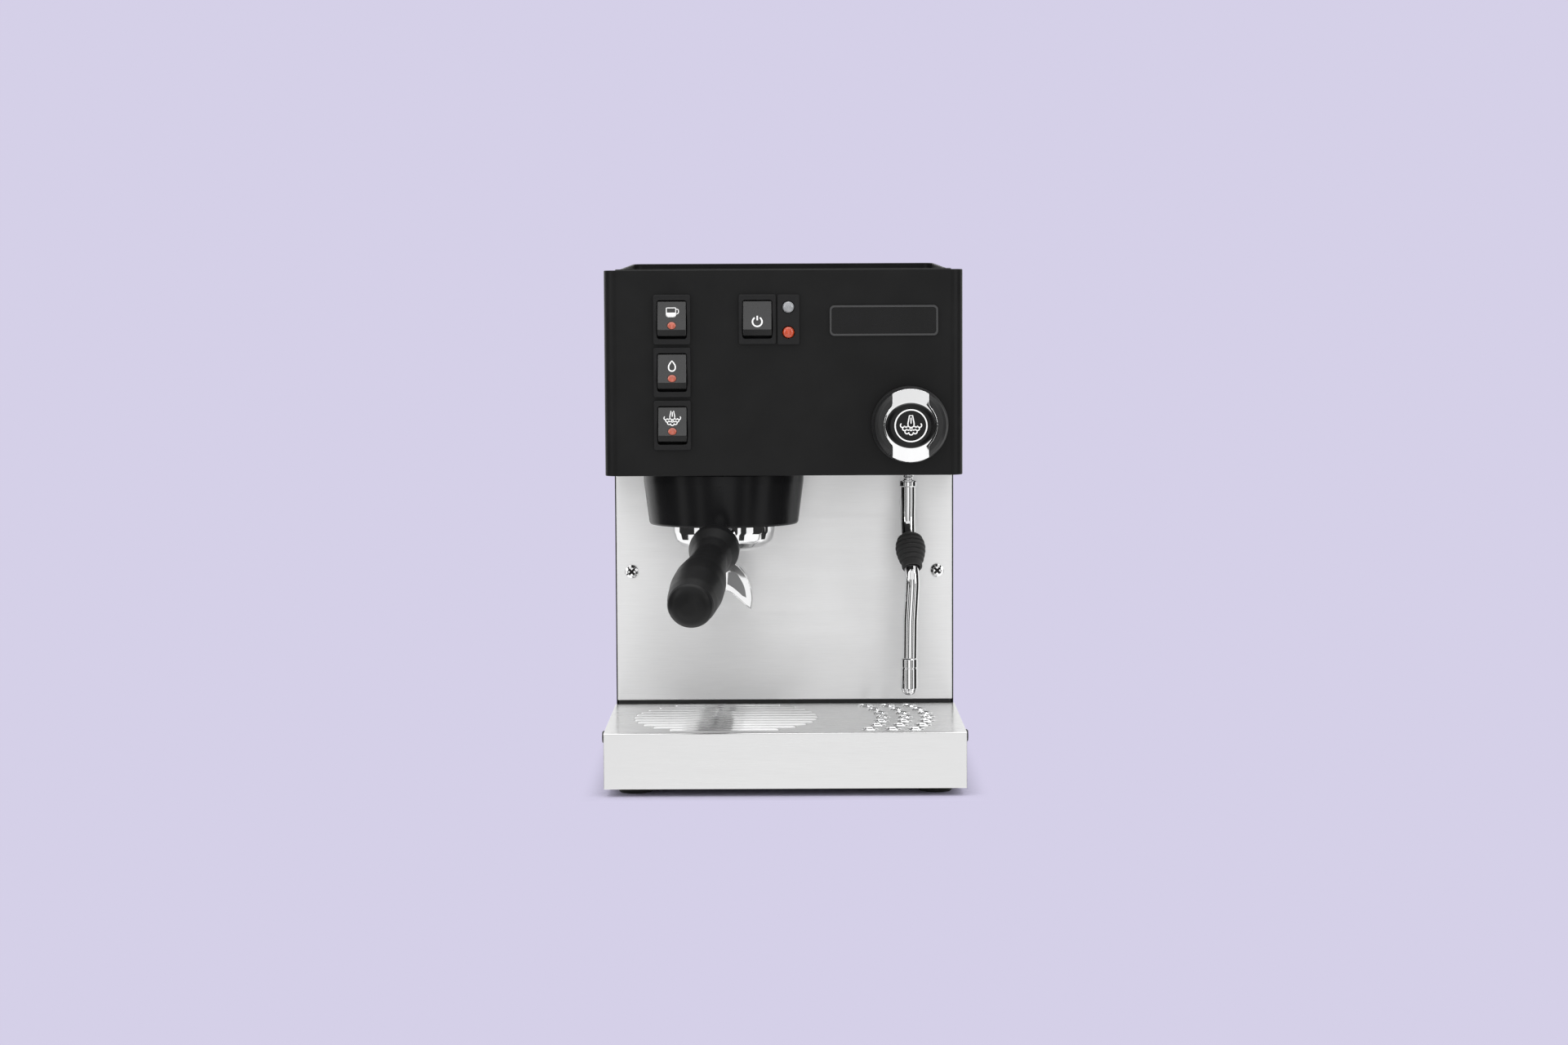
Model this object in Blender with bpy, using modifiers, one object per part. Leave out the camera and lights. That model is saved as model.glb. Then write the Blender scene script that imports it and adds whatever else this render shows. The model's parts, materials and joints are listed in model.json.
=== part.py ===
"""Single-group home espresso machine with a steam wand, drip tray and water tank.

Sizes are in millimetres and are turned into metres when a shape is made.  X points
to the machine's right, Y to its back and Z up.  The origin lies on the ground, at
the centre of the footprint of the machine with its portafilter handle.
"""
import math

import bmesh
import bpy
from mathutils import Matrix, Vector

MM = 0.001
GAP = 0.3
SHEET = 1.2
MERGE = 0.00001

# Overall layout, front to back.
TRAY_FRONT = -93.5
HEAD_FRONT = TRAY_FRONT + 32.0
SPLASH_FRONT = TRAY_FRONT + 145.0
REAR = TRAY_FRONT + 290.0

# Overall layout, bottom to top.
FLOOR_LOW = 5.5
FLOOR_TOP = 7.5
COVER_TOP = 41.5
SPLASH_LOW = 43.9
HEAD_LOW = 206.1
HEAD_TOP = 340.1
TRAY_WALL_TOP = 348.0

# Half widths.
COVER_HALF = 117.5
HEAD_HALF = 117.0
INNER_HALF = HEAD_HALF - SHEET - GAP

# Casing.
CORNER_RADIUS = 9.0
WRAP_BACK = HEAD_FRONT + 30.0
POST = 11.0
CUP_FLOOR_LOW = 331.0
CUP_WALL_HALF = 110.0
CUP_WALL_FRONT = HEAD_FRONT + 6.0
CUP_WALL_BACK = REAR - 4.0
CUP_PAD_PROUD = 0.25

# Rear inlet, splash screws and feet.
INLET_X = -80.0
INLET_Z = 84.0
SCREW_X = 105.7
SCREW_Z = 133.5
FOOT_X = 98.0

# Rocker switches: centre heights of the left column, and the size of a bezel.
SWITCH_X = -72.5
SWITCH_Z = {"brew": 308.0, "water": 273.7, "steam": 239.3}
POWER_X = -16.9
BEZEL_WIDE = 24.3
BEZEL_TALL = 32.3
BEZEL_PROUD = 2.2
POCKET_WIDE = 19.3
POCKET_TALL = 25.0
ROCKER_WIDE = 18.6
ROCKER_PIVOT = HEAD_FRONT + 5.0
ROCKER_REST = math.radians(-9.5)
LENS_DROP = -5.3

# Lamps and badge.
LAMP_X = 3.3
LAMP_Z = 307.8
LAMP_LENS_Z = {"ready": 315.9, "power": 299.5}
BADGE = (30.1, 100.6, 297.0, 316.8)

# Steam knob and valve.
KNOB_X = 81.8
KNOB_Z = 239.4
KNOB_RADIUS = 23.5
KNOB_SKIRT = 25.0
KNOB_BACK = HEAD_FRONT - 2.6
KNOB_FRONT = HEAD_FRONT - 26.0
BAND_HALF_TALL = 23.7
BAND_END_HALF = 12.2
BAND_MIDDLE_HALF = 17.4

# Brew group and portafilter.
GROUP_X = -40.5
GROUP_Y = TRAY_FRONT + 88.5
BELL_LOW = 171.3
BELL_LOW_RADIUS = 49.2
BELL_RADIUS = 53.6
GROUP_RADIUS = 42.0
PORTA_RADIUS = 34.2
PORTA_TOP = 184.4
PORTA_LOW = 152.5
LUG_RADIUS = 37.8
UNLOCK_ANGLE = -40.0
BOILER_TOP = 300.0
BOILER_Y = GROUP_Y + 17.0
HANDLE_YAW = math.radians(4.6)
HANDLE_DROOP = math.radians(14.7)
FLANGE_REACH = 75.2
FLANGE_Z = 161.7
HANDLE_LENGTH = 112.5
CAP_LENGTH = 7.0
ARM_Z = 163.2
SPOUT_TIP = 113.7

# Steam wand: it drops from a ball, leans forward through its grip and drops again.
WAND_X = 83.8
WAND_Y = TRAY_FRONT + 100.0
BALL_Z = 207.0
BALL_RADIUS = 6.8
NECK_RADIUS = 3.0
COLLAR_RADIUS = 5.6
COLLAR_Z = (194.4, 198.3)
WAND_RADIUS = 4.8
UPPER_BEND = Vector((83.6, WAND_Y, 167.5))
LOWER_BEND = Vector((85.6, TRAY_FRONT + 76.0, 134.5))
WAND_TIP = Vector((83.4, TRAY_FRONT + 76.0, 56.0))
NOZZLE_TOP = 80.6
GRIP_LENGTH = 25.0

# Drip tray.
PAN_HALF = 112.0
PAN_BACK = TRAY_FRONT + 140.0
BAY_HALF = 116.2
SLOT_CENTRE = (-39.7, TRAY_FRONT + 74.0)
SLOT_COUNT = 11
SLOT_PITCH = 11.7
SLOT_HALF_SPAN = 61.5
SLOT_HALF_REACH = 72.0
HOLE_COLUMNS = (55.3, 70.3, 85.3)
HOLE_ROWS = 7
HOLE_PITCH = 18.7
HOLE_BOW = 9.8
HOLE_MIDDLE = TRAY_FRONT + 72.0
APRON_LOW = 5.0

# Water tank.
TANK_X = (0.0, 101.0)
TANK_Y = (TRAY_FRONT + 172.0, TRAY_FRONT + 276.0)
TANK_LOW = 62.0
TANK_TOP = CUP_FLOOR_LOW + SHEET
TANK_WALL = 2.5
SEAT_LOW = 46.0
PUMP_X = -70.0
PUMP_Y = TRAY_FRONT + 205.0
PUMP_Z = 44.0

FINISHES = {
    "black_paint": ((0.016, 0.016, 0.017), 0.0, 0.38),
    "black_plastic": ((0.012, 0.012, 0.013), 0.0, 0.45),
    "rubber": ((0.010, 0.010, 0.010), 0.0, 0.80),
    "stainless": ((0.62, 0.61, 0.60), 1.0, 0.32),
    "chrome": ((0.80, 0.80, 0.80), 1.0, 0.08),
    "brass": ((0.60, 0.42, 0.16), 1.0, 0.30),
    "copper": ((0.64, 0.30, 0.16), 1.0, 0.28),
    "zinc_steel": ((0.42, 0.43, 0.44), 1.0, 0.40),
    "badge_black": ((0.008, 0.008, 0.009), 0.0, 0.12),
    "amber": ((0.85, 0.33, 0.10), 0.0, 0.20),
    "clear_lens": ((0.75, 0.75, 0.72), 0.0, 0.12),
    "smoked_tank": ((0.55, 0.58, 0.60), 0.0, 0.20),
    "white_plastic": ((0.62, 0.62, 0.60), 0.0, 0.50),
}


def collection(name):
    """Make a collection under the scene's own."""
    made = bpy.data.collections.new(name)
    bpy.context.scene.collection.children.link(made)
    return made


def finish_of(part_name, finish):
    """Make the part's own material from a named finish."""
    colour, metallic, roughness = FINISHES[finish]
    made = bpy.data.materials.new(part_name + "_" + finish)
    made.use_nodes = True
    shader = made.node_tree.nodes["Principled BSDF"]
    shader.inputs["Base Color"].default_value = (*colour, 1.0)
    shader.inputs["Metallic"].default_value = metallic
    shader.inputs["Roughness"].default_value = roughness
    made.diffuse_color = (*colour, 1.0)
    return made


def solid(name, mesh, finish=None):
    """Add a mesh as a part with a finish, or as a hidden cutting tool without one."""
    made = bpy.data.objects.new(name, mesh)
    if finish is None:
        TOOLS.objects.link(made)
        made.hide_render = True
        made.display_type = "WIRE"
        return made
    PARTS.objects.link(made)
    mesh.materials.append(finish_of(name, finish))
    mesh.shade_smooth()
    mesh.set_sharp_from_angle(angle=math.radians(35.0))
    return made


def mesh_from(name, build):
    """Run a bmesh builder and return its mesh."""
    work = bmesh.new()
    build(work)
    mesh = bpy.data.meshes.new(name)
    work.to_mesh(mesh)
    work.free()
    return mesh


def box(name, x, y, z, finish=None):
    """A box between the given pairs of millimetre values."""
    size = Vector((x[1] - x[0], y[1] - y[0], z[1] - z[0])) * MM
    centre = Vector((x[0] + x[1], y[0] + y[1], z[0] + z[1])) * (MM / 2.0)
    matrix = Matrix.Translation(centre) @ Matrix.Diagonal((*size, 1.0))
    mesh = mesh_from(name, lambda work: bmesh.ops.create_cube(work, size=1.0, matrix=matrix))
    return solid(name, mesh, finish)


def rod(name, start, end, radius, finish=None, end_radius=None, segments=32):
    """A cylinder or a cone frustum between two points."""
    first = Vector(start) * MM
    last = Vector(end) * MM
    along = last - first
    turn = Vector((0.0, 0.0, 1.0)).rotation_difference(along).to_matrix().to_4x4()
    matrix = Matrix.Translation((first + last) / 2.0) @ turn
    tip = radius if end_radius is None else end_radius

    def build(work):
        bmesh.ops.create_cone(work, cap_ends=True, segments=segments, radius1=radius * MM,
                              radius2=tip * MM, depth=along.length, matrix=matrix)

    return solid(name, mesh_from(name, build), finish)


def turned(name, profile, finish=None, at=(0.0, 0.0, 0.0), along=(0.0, 0.0, 1.0),
           steps=28, ring=False):
    """A turned shape: (radius, height) points run down the outer side, top to bottom."""
    mesh = bpy.data.meshes.new(name)
    points = [(radius * MM, 0.0, height * MM) for radius, height in profile]
    edges = [(index, index + 1) for index in range(len(points) - 1)]
    if ring:
        edges.append((len(points) - 1, 0))
    mesh.from_pydata(points, edges, [])
    made = solid(name, mesh, finish)
    made.location = Vector(at) * MM
    made.rotation_mode = "QUATERNION"
    made.rotation_quaternion = Vector((0.0, 0.0, 1.0)).rotation_difference(Vector(along))
    screw = made.modifiers.new("turn", "SCREW")
    screw.axis = "Z"
    screw.angle = math.tau
    screw.steps = steps
    screw.render_steps = steps
    screw.use_merge_vertices = True
    screw.merge_threshold = MERGE
    screw.use_smooth_shade = True
    return made


def mesh_from_curve(name, curve, matrix):
    """Turn a curve into a mesh, in world places, with its caps welded on."""
    holder = bpy.data.objects.new(name + "_curve", curve)
    TOOLS.objects.link(holder)
    holder.matrix_world = matrix
    bpy.context.view_layer.update()
    graph = bpy.context.evaluated_depsgraph_get()
    mesh = bpy.data.meshes.new_from_object(holder.evaluated_get(graph))
    mesh.transform(matrix)
    bpy.data.objects.remove(holder)
    work = bmesh.new()
    work.from_mesh(mesh)
    bmesh.ops.remove_doubles(work, verts=work.verts, dist=MERGE)
    bmesh.ops.recalc_face_normals(work, faces=work.faces)
    work.to_mesh(mesh)
    work.free()
    mesh.materials.clear()
    mesh.name = name
    return mesh


# Each plane maps an outline's two values, and the thickness, to the machine's axes.
PLANES = {
    "level": Matrix.Identity(4),
    "front": Matrix(((1, 0, 0, 0), (0, 0, -1, 0), (0, 1, 0, 0), (0, 0, 0, 1))),
    "side": Matrix(((0, 0, 1, 0), (1, 0, 0, 0), (0, 1, 0, 0), (0, 0, 0, 1))),
}


def plate(name, loops, span, plane, finish=None):
    """A flat plate: the first loop is its outline, the others are holes."""
    curve = bpy.data.curves.new(name, "CURVE")
    curve.dimensions = "2D"
    curve.fill_mode = "BOTH"
    curve.extrude = (span[1] - span[0]) / 2.0 * MM
    for loop in loops:
        spline = curve.splines.new("POLY")
        spline.points.add(len(loop) - 1)
        for point, (across, up) in zip(spline.points, loop):
            point.co = (across * MM, up * MM, 0.0, 1.0)
        spline.use_cyclic_u = True
    middle = (span[0] + span[1]) / 2.0 * MM
    if plane == "front":
        middle = -middle
    matrix = PLANES[plane] @ Matrix.Translation((0.0, 0.0, middle))
    return solid(name, mesh_from_curve(name, curve, matrix), finish)


def tube(name, points, radius, finish=None, resolution=2, smooth=4):
    """A bent rod through the points, as a smooth curve with capped ends."""
    curve = bpy.data.curves.new(name, "CURVE")
    curve.dimensions = "3D"
    curve.bevel_depth = radius * MM
    curve.bevel_resolution = resolution
    curve.resolution_u = smooth
    curve.use_fill_caps = True
    spline = curve.splines.new("BEZIER")
    spline.bezier_points.add(len(points) - 1)
    for knot, place in zip(spline.bezier_points, points):
        knot.co = Vector(place) * MM
        knot.handle_left_type = "AUTO"
        knot.handle_right_type = "AUTO"
    return solid(name, mesh_from_curve(name, curve, Matrix.Identity(4)), finish)


def boolean(part, tool, operation, solver="EXACT"):
    """Cut a tool out of a part, or join it on."""
    change = part.modifiers.new(tool.name, "BOOLEAN")
    change.operation = operation
    change.solver = solver
    change.object = tool


def cut(part, *tools):
    """Cut each tool out of the part."""
    for tool in tools:
        boolean(part, tool, "DIFFERENCE")


def join(part, *tools):
    """Join each tool onto the part."""
    for tool in tools:
        boolean(part, tool, "UNION")


def pivot(name, place, *riders):
    """An empty on a joint's axis, with the pieces that ride on it as its children."""
    empty = bpy.data.objects.new(name, None)
    PARTS.objects.link(empty)
    empty.location = Vector(place) * MM
    empty.empty_display_size = 0.01
    bpy.context.view_layer.update()
    tools = [change.object for rider in riders for change in rider.modifiers
             if change.type == "BOOLEAN"]
    for rider in [*riders, *tools]:
        rider.parent = empty
        rider.matrix_parent_inverse = empty.matrix_world.inverted()
    return empty


def arc(centre, radius, start, end, steps):
    """Points on an arc, from one angle in degrees to another."""
    angles = [math.radians(start + (end - start) * index / steps) for index in range(steps + 1)]
    return [(centre[0] + radius * math.cos(a), centre[1] + radius * math.sin(a)) for a in angles]


def circle(centre, radius, steps=24):
    """Points round a full circle."""
    return arc(centre, radius, 0.0, 360.0, steps)[:-1]


def rounded(across, up, radius, steps=4):
    """The outline of a rectangle with round corners."""
    left, right = across[0] + radius, across[1] - radius
    low, high = up[0] + radius, up[1] - radius
    return (arc((right, high), radius, 0.0, 90.0, steps)
            + arc((left, high), radius, 90.0, 180.0, steps)
            + arc((left, low), radius, 180.0, 270.0, steps)
            + arc((right, low), radius, 270.0, 360.0, steps))


def sector(inside, outside, middle, half):
    """Outline of a ring's sector round the brew group's axis, with its angles in degrees."""
    centre = (GROUP_X, GROUP_Y)
    return (arc(centre, outside, middle - half, middle + half, 6)
            + arc(centre, inside, middle + half, middle - half, 6))


def square(across, up):
    """The outline of a plain rectangle."""
    return [(across[0], up[0]), (across[1], up[0]), (across[1], up[1]), (across[0], up[1])]


def casing_frame():
    """The welded frame: floor, tray bay, posts, head shelf and top rails."""
    inner = INNER_HALF - 1.5
    frame = box("chassis_frame", (-inner, inner), (TRAY_FRONT + 4.0, REAR - 3.0),
                (FLOOR_LOW, FLOOR_TOP), "zinc_steel")
    bay_top = COVER_TOP - SHEET - GAP
    parts = []
    for side in (-1.0, 1.0):
        wall = sorted((side * BAY_HALF, side * (BAY_HALF - 1.6)))
        foot = sorted((side * BAY_HALF, side * (inner - 3.0)))
        rail = sorted((side * inner, side * (inner - 9.0)))
        post = sorted((side * inner, side * (inner - POST)))
        front_post = sorted((side * (inner - 1.5), side * (inner - 9.0)))
        bay = (TRAY_FRONT + 3.0, SPLASH_FRONT - 0.6)
        parts += [
            box("bay_wall", wall, bay, (FLOOR_LOW, bay_top)),
            box("bay_foot", foot, bay, (FLOOR_LOW, FLOOR_TOP)),
            box("front_post", post, (SPLASH_FRONT + 4.0, SPLASH_FRONT + 4.0 + POST),
                (FLOOR_LOW, CUP_FLOOR_LOW - 2.0)),
            box("rear_post", post, (REAR - 4.0 - POST, REAR - 4.0),
                (FLOOR_LOW, CUP_FLOOR_LOW - 2.0)),
            box("head_post", front_post, (HEAD_FRONT + 4.5, HEAD_FRONT + 11.0),
                (HEAD_LOW + 6.0, CUP_FLOOR_LOW - 2.0)),
            box("top_rail", rail, (HEAD_FRONT + 4.8, REAR - 4.0),
                (CUP_FLOOR_LOW - 9.0, CUP_FLOOR_LOW - 1.0)),
        ]
    shelf = (HEAD_LOW + 6.0, HEAD_LOW + 8.0)
    parts += [
        box("head_shelf", (-inner + 1.0, inner - 1.0), (HEAD_FRONT + 5.0, SPLASH_FRONT + 12.0),
            shelf),
        box("bay_back", (-inner, inner), (SPLASH_FRONT + 1.6, SPLASH_FRONT + 3.2),
            (FLOOR_LOW, bay_top)),
        box("rear_rail", (-inner, inner), (REAR - 9.0, REAR - 4.0),
            (CUP_FLOOR_LOW - 9.0, CUP_FLOOR_LOW - 1.0)),
    ]
    join(frame, *parts)
    centre = (GROUP_X, GROUP_Y)
    cut(frame,
        rod("shelf_group_hole", (*centre, shelf[0] - 3.0), (*centre, shelf[1] + 3.0), 30.0),
        rod("shelf_steam_hole", (WAND_X, WAND_Y, shelf[0] - 3.0),
            (WAND_X, WAND_Y, shelf[1] + 3.0), 11.0))
    return frame


def casing_panels():
    """Side panels, wrapped head front, head underside, splash panel and rear panel."""
    outline = [(WRAP_BACK + GAP, HEAD_LOW + 0.2), (WRAP_BACK + GAP, HEAD_TOP - 1.6),
               (REAR - 1.6, HEAD_TOP - 1.6), (REAR - 1.6, FLOOR_LOW + 2.0),
               (SPLASH_FRONT, FLOOR_LOW + 2.0), (SPLASH_FRONT, HEAD_LOW + 0.2)]
    for name, low in (("left_side_panel", -HEAD_HALF), ("right_side_panel", HEAD_HALF - SHEET)):
        plate(name, [outline], (low, low + SHEET), "side", "black_paint")

    splash_holes = [circle((side * SCREW_X, SCREW_Z), 2.3, 12) for side in (-1.0, 1.0)]
    plate("splash_panel",
          [square((-INNER_HALF, INNER_HALF), (SPLASH_LOW, HEAD_LOW - GAP)), *splash_holes],
          (SPLASH_FRONT, SPLASH_FRONT + SHEET), "front", "stainless")

    vents = [rounded((-70.0, 20.0), (z, z + 4.0), 1.9, 3) for z in (250.0, 262.0, 274.0, 286.0)]
    inlet = square((INLET_X - 14.3, INLET_X + 14.3), (INLET_Z - 10.3, INLET_Z + 10.3))
    plate("rear_panel",
          [square((-INNER_HALF, INNER_HALF), (FLOOR_LOW + 2.5, HEAD_TOP - 2.0)), inlet, *vents],
          (REAR - SHEET, REAR), "front", "black_paint")

    group = circle((GROUP_X, GROUP_Y), GROUP_RADIUS + 1.0, 40)
    steam = circle((WAND_X, WAND_Y), 8.3, 20)
    plate("head_bottom_plate",
          [square((-INNER_HALF + 4.0, INNER_HALF - 4.0), (HEAD_FRONT + 6.0, SPLASH_FRONT + 2.0)),
           group, steam],
          (HEAD_LOW, HEAD_LOW + SHEET), "level", "black_paint")


def head_front():
    """The head's front: a sheet wrapped round both corners, with its openings."""
    side = HEAD_HALF
    outer = (arc((side - CORNER_RADIUS, HEAD_FRONT + CORNER_RADIUS), CORNER_RADIUS, 0.0, -90.0, 6)
             + arc((-side + CORNER_RADIUS, HEAD_FRONT + CORNER_RADIUS), CORNER_RADIUS,
                   -90.0, -180.0, 6))
    inner_radius = CORNER_RADIUS - SHEET
    inner = (arc((-side + CORNER_RADIUS, HEAD_FRONT + CORNER_RADIUS), inner_radius,
                 -180.0, -90.0, 6)
             + arc((side - CORNER_RADIUS, HEAD_FRONT + CORNER_RADIUS), inner_radius,
                   -90.0, 0.0, 6))
    loop = ([(side, WRAP_BACK)] + outer + [(-side, WRAP_BACK), (-side + SHEET, WRAP_BACK)]
            + inner + [(side - SHEET, WRAP_BACK)])
    panel = plate("head_front_panel", [loop], (HEAD_LOW, HEAD_TOP), "level", "black_paint")
    depth = (HEAD_FRONT - 5.0, HEAD_FRONT + 5.0)
    for centre_x, centre_z in switch_places().values():
        cut(panel, box("switch_opening", (centre_x - 11.3, centre_x + 11.3), depth,
                       (centre_z - 15.3, centre_z + 15.3)))
    for name, height in LAMP_LENS_Z.items():
        cut(panel, rod(name + "_opening", (LAMP_X, depth[0], height), (LAMP_X, depth[1], height),
                       4.3, segments=20))
    cut(panel, rod("stem_opening", (KNOB_X, depth[0], KNOB_Z), (KNOB_X, depth[1], KNOB_Z), 5.0))
    return panel


def cup_tray():
    """The cup tray on top: a floor, a wall that rises to the back, and a flange."""
    flange_z = (HEAD_TOP - 1.2, HEAD_TOP)
    back = REAR - 1.6
    wall_inner = CUP_WALL_HALF - SHEET
    tray = plate("cup_tray",
                 [rounded((-INNER_HALF, INNER_HALF), (CUP_WALL_FRONT - 4.0, back), 7.5),
                  rounded((-wall_inner - 0.6, wall_inner + 0.6),
                          (CUP_WALL_FRONT + 0.6, CUP_WALL_BACK - 0.6), 7.4)],
                 flange_z, "level", "black_paint")
    wall = plate("tray_wall",
                 [rounded((-CUP_WALL_HALF, CUP_WALL_HALF), (CUP_WALL_FRONT, CUP_WALL_BACK), 8.0),
                  rounded((-wall_inner, wall_inner),
                          (CUP_WALL_FRONT + SHEET, CUP_WALL_BACK - SHEET), 6.8)],
                 (CUP_FLOOR_LOW, TRAY_WALL_TOP), "level")
    hatch = square((TANK_X[0] - 3.0, TANK_X[1] + 3.0), (TANK_Y[0] - 3.0, TANK_Y[1] + 2.0))
    floor = plate("tray_floor",
                  [rounded((-CUP_WALL_HALF + 0.5, CUP_WALL_HALF - 0.5),
                           (CUP_WALL_FRONT + 0.5, CUP_WALL_BACK - 0.5), 7.5), hatch],
                  (CUP_FLOOR_LOW + 0.2, CUP_FLOOR_LOW + SHEET), "level")
    join(tray, wall)
    boolean(tray, floor, "UNION", "MANIFOLD")
    boolean(tray, plate("tray_pad", [cup_pad_outline()],
                        (CUP_FLOOR_LOW + 0.6, CUP_FLOOR_LOW + SHEET + CUP_PAD_PROUD), "level"),
            "UNION", "MANIFOLD")
    slope = [(HEAD_FRONT - 5.0, HEAD_TOP + 0.5), (CUP_WALL_FRONT + 55.0, HEAD_TOP + 1.3),
             (CUP_WALL_BACK + 5.0, TRAY_WALL_TOP), (CUP_WALL_BACK + 5.0, TRAY_WALL_TOP + 5.0),
             (HEAD_FRONT - 5.0, TRAY_WALL_TOP + 5.0)]
    cut(tray, plate("wall_slope", [slope], (-HEAD_HALF - 5.0, HEAD_HALF + 5.0), "side"))
    return tray


def cup_pad_outline():
    """Outline of the slightly raised pad for cups, in front of the tank and beside it."""
    side = CUP_WALL_HALF - 8.0
    front = CUP_WALL_FRONT + 8.0
    beside = TANK_X[0] - 12.0
    before = TANK_Y[0] - 14.0
    return [(-side, front), (side, front), (side, before), (beside, before),
            (beside, CUP_WALL_BACK - 9.0), (-side, CUP_WALL_BACK - 9.0)]


def feet_and_screws():
    """Four rubber feet, and the two screws of the splash panel."""
    for row, y in (("front", TRAY_FRONT + 24.0), ("rear", REAR - 24.0)):
        for side, x in (("left", -FOOT_X), ("right", FOOT_X)):
            turned(f"foot_{row}_{side}",
                   [(0.0, FLOOR_LOW - GAP), (12.0, FLOOR_LOW - GAP), (10.5, 0.0), (0.0, 0.0)],
                   "rubber", at=(x, y, 0.0), steps=24)
    head = [(0.0, 1.7), (2.6, 1.5), (4.2, 0.8), (4.9, 0.0), (1.9, 0.0), (1.9, -3.2), (0.0, -3.2)]
    for side, x in (("left", -SCREW_X), ("right", SCREW_X)):
        turned(f"splash_screw_{side}", head, "zinc_steel",
               at=(x, SPLASH_FRONT - GAP, SCREW_Z), along=(0.0, -1.0, 0.0), steps=20)


def switch_places():
    """Centre of each rocker switch on the head's front, as X and Z."""
    places = {name: (SWITCH_X, height) for name, height in SWITCH_Z.items()}
    places["power"] = (POWER_X, SWITCH_Z["brew"])
    return places


def rocker_profile():
    """Side outline of a rocker about its pivot, as forward reach and height."""
    half = [(8.1, 0.0), (8.5, 8.5), (4.5, 11.4), (-1.0, 9.0), (-3.0, 4.0)]
    lower = [(reach, -height) for reach, height in half[1:]]
    return half + lower[::-1]


def switches():
    """Rocker switches: each a framed housing and a rocker, three with a lamp in it."""
    for name, (x, z) in switch_places().items():
        housing = box(name + "_switch_housing", (x - BEZEL_WIDE / 2.0, x + BEZEL_WIDE / 2.0),
                      (HEAD_FRONT - GAP - BEZEL_PROUD, HEAD_FRONT - GAP),
                      (z - BEZEL_TALL / 2.0, z + BEZEL_TALL / 2.0), "black_plastic")
        body = box(name + "_body", (x - 11.0, x + 11.0), (HEAD_FRONT - 1.0, HEAD_FRONT + 20.0),
                   (z - 15.0, z + 15.0))
        pocket = box(name + "_pocket", (x - POCKET_WIDE / 2.0, x + POCKET_WIDE / 2.0),
                     (HEAD_FRONT - 8.0, HEAD_FRONT + 12.0),
                     (z - POCKET_TALL / 2.0, z + POCKET_TALL / 2.0))
        join(housing, body)
        cut(housing, pocket)

        outline = [(ROCKER_PIVOT - reach, z + height) for reach, height in rocker_profile()]
        rocker = plate(name + "_rocker", [outline], (x - ROCKER_WIDE / 2.0, x + ROCKER_WIDE / 2.0),
                       "side", "black_plastic")
        riders = [rocker]
        if name != "power":
            riders.append(rocker_lamp(name, rocker, x, z))
        hinge = pivot(name + "_rocker_axis", (x, ROCKER_PIVOT, z), *riders)
        hinge.rotation_euler.x = ROCKER_REST


def rocker_lamp(name, rocker, x, z):
    """An oval lamp lens let into the lower half of a rocker's face."""
    centre = (x, z + LENS_DROP)
    oval = [(centre[0] + 2.7 * math.cos(a), centre[1] + 2.3 * math.sin(a))
            for a in (math.tau * index / 16 for index in range(16))]
    wider = [(centre[0] + 3.0 * math.cos(a), centre[1] + 2.6 * math.sin(a))
             for a in (math.tau * index / 16 for index in range(16))]
    face = ROCKER_PIVOT - 8.3
    cut(rocker, plate(name + "_lamp_seat", [wider], (face - 2.0, face + 2.0), "front"))
    return plate(name + "_rocker_lamp", [oval], (face - 0.4, face + 1.6), "front", "amber")


def lamps_and_badge():
    """The two pilot lamps on their small panel, and the blank badge."""
    holes = [circle((LAMP_X, height), 4.0, 20) for height in LAMP_LENS_Z.values()]
    plate("lamp_panel", [rounded((LAMP_X - 7.2, LAMP_X + 7.2), (291.6, 324.0), 1.2, 2), *holes],
          (HEAD_FRONT - GAP - 1.6, HEAD_FRONT - GAP), "front", "black_plastic")
    lens = [(0.0, 2.6), (2.2, 2.2), (3.6, 1.0), (3.6, -6.0), (0.0, -6.0)]
    for name, finish in (("ready", "clear_lens"), ("power", "amber")):
        turned(name + "_lamp_lens", lens, finish, at=(LAMP_X, HEAD_FRONT - 1.2, LAMP_LENS_Z[name]),
               along=(0.0, -1.0, 0.0), steps=20)
    left, right, low, high = BADGE
    plate("badge_plate", [rounded((left, right), (low, high), 3.0)],
          (HEAD_FRONT - GAP - 1.0, HEAD_FRONT - GAP), "front", "badge_black")


def steam_knob():
    """The steam knob: a grip, a bright band, a cap and the valve stem that they turn."""
    depth = KNOB_BACK - KNOB_FRONT - 4.0
    at = (KNOB_X, KNOB_BACK, KNOB_Z)
    front = (0.0, -1.0, 0.0)
    profile = [(0.0, depth), (KNOB_RADIUS - 1.6, depth), (KNOB_RADIUS, depth - 1.6),
               (KNOB_RADIUS + 0.3, 9.0), (KNOB_SKIRT, 6.0), (KNOB_SKIRT, 1.2),
               (KNOB_SKIRT - 1.2, 0.0), (3.4, 0.0), (3.4, 14.0), (0.0, 14.0)]
    grip = turned("knob_grip", profile, "black_plastic", at=at, along=front, steps=36)
    face = KNOB_FRONT + 4.0 - GAP
    band = plate("knob_band", [band_outline()], (face - 1.6, face), "front", "chrome")
    cap_profile = [(0.0, 2.3), (13.0, 2.1), (15.2, 1.2), (15.8, 0.0), (0.0, 0.0)]
    cap = turned("knob_cap", cap_profile, "black_plastic",
                 at=(KNOB_X, face - 1.6 - GAP, KNOB_Z), along=front, steps=24)
    stem = rod("valve_stem", (KNOB_X, KNOB_BACK - 13.5, KNOB_Z),
               (KNOB_X, HEAD_FRONT + 34.0, KNOB_Z), 3.0, "brass", segments=20)
    pivot("knob_axis", at, grip, band, cap, stem)


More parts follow.
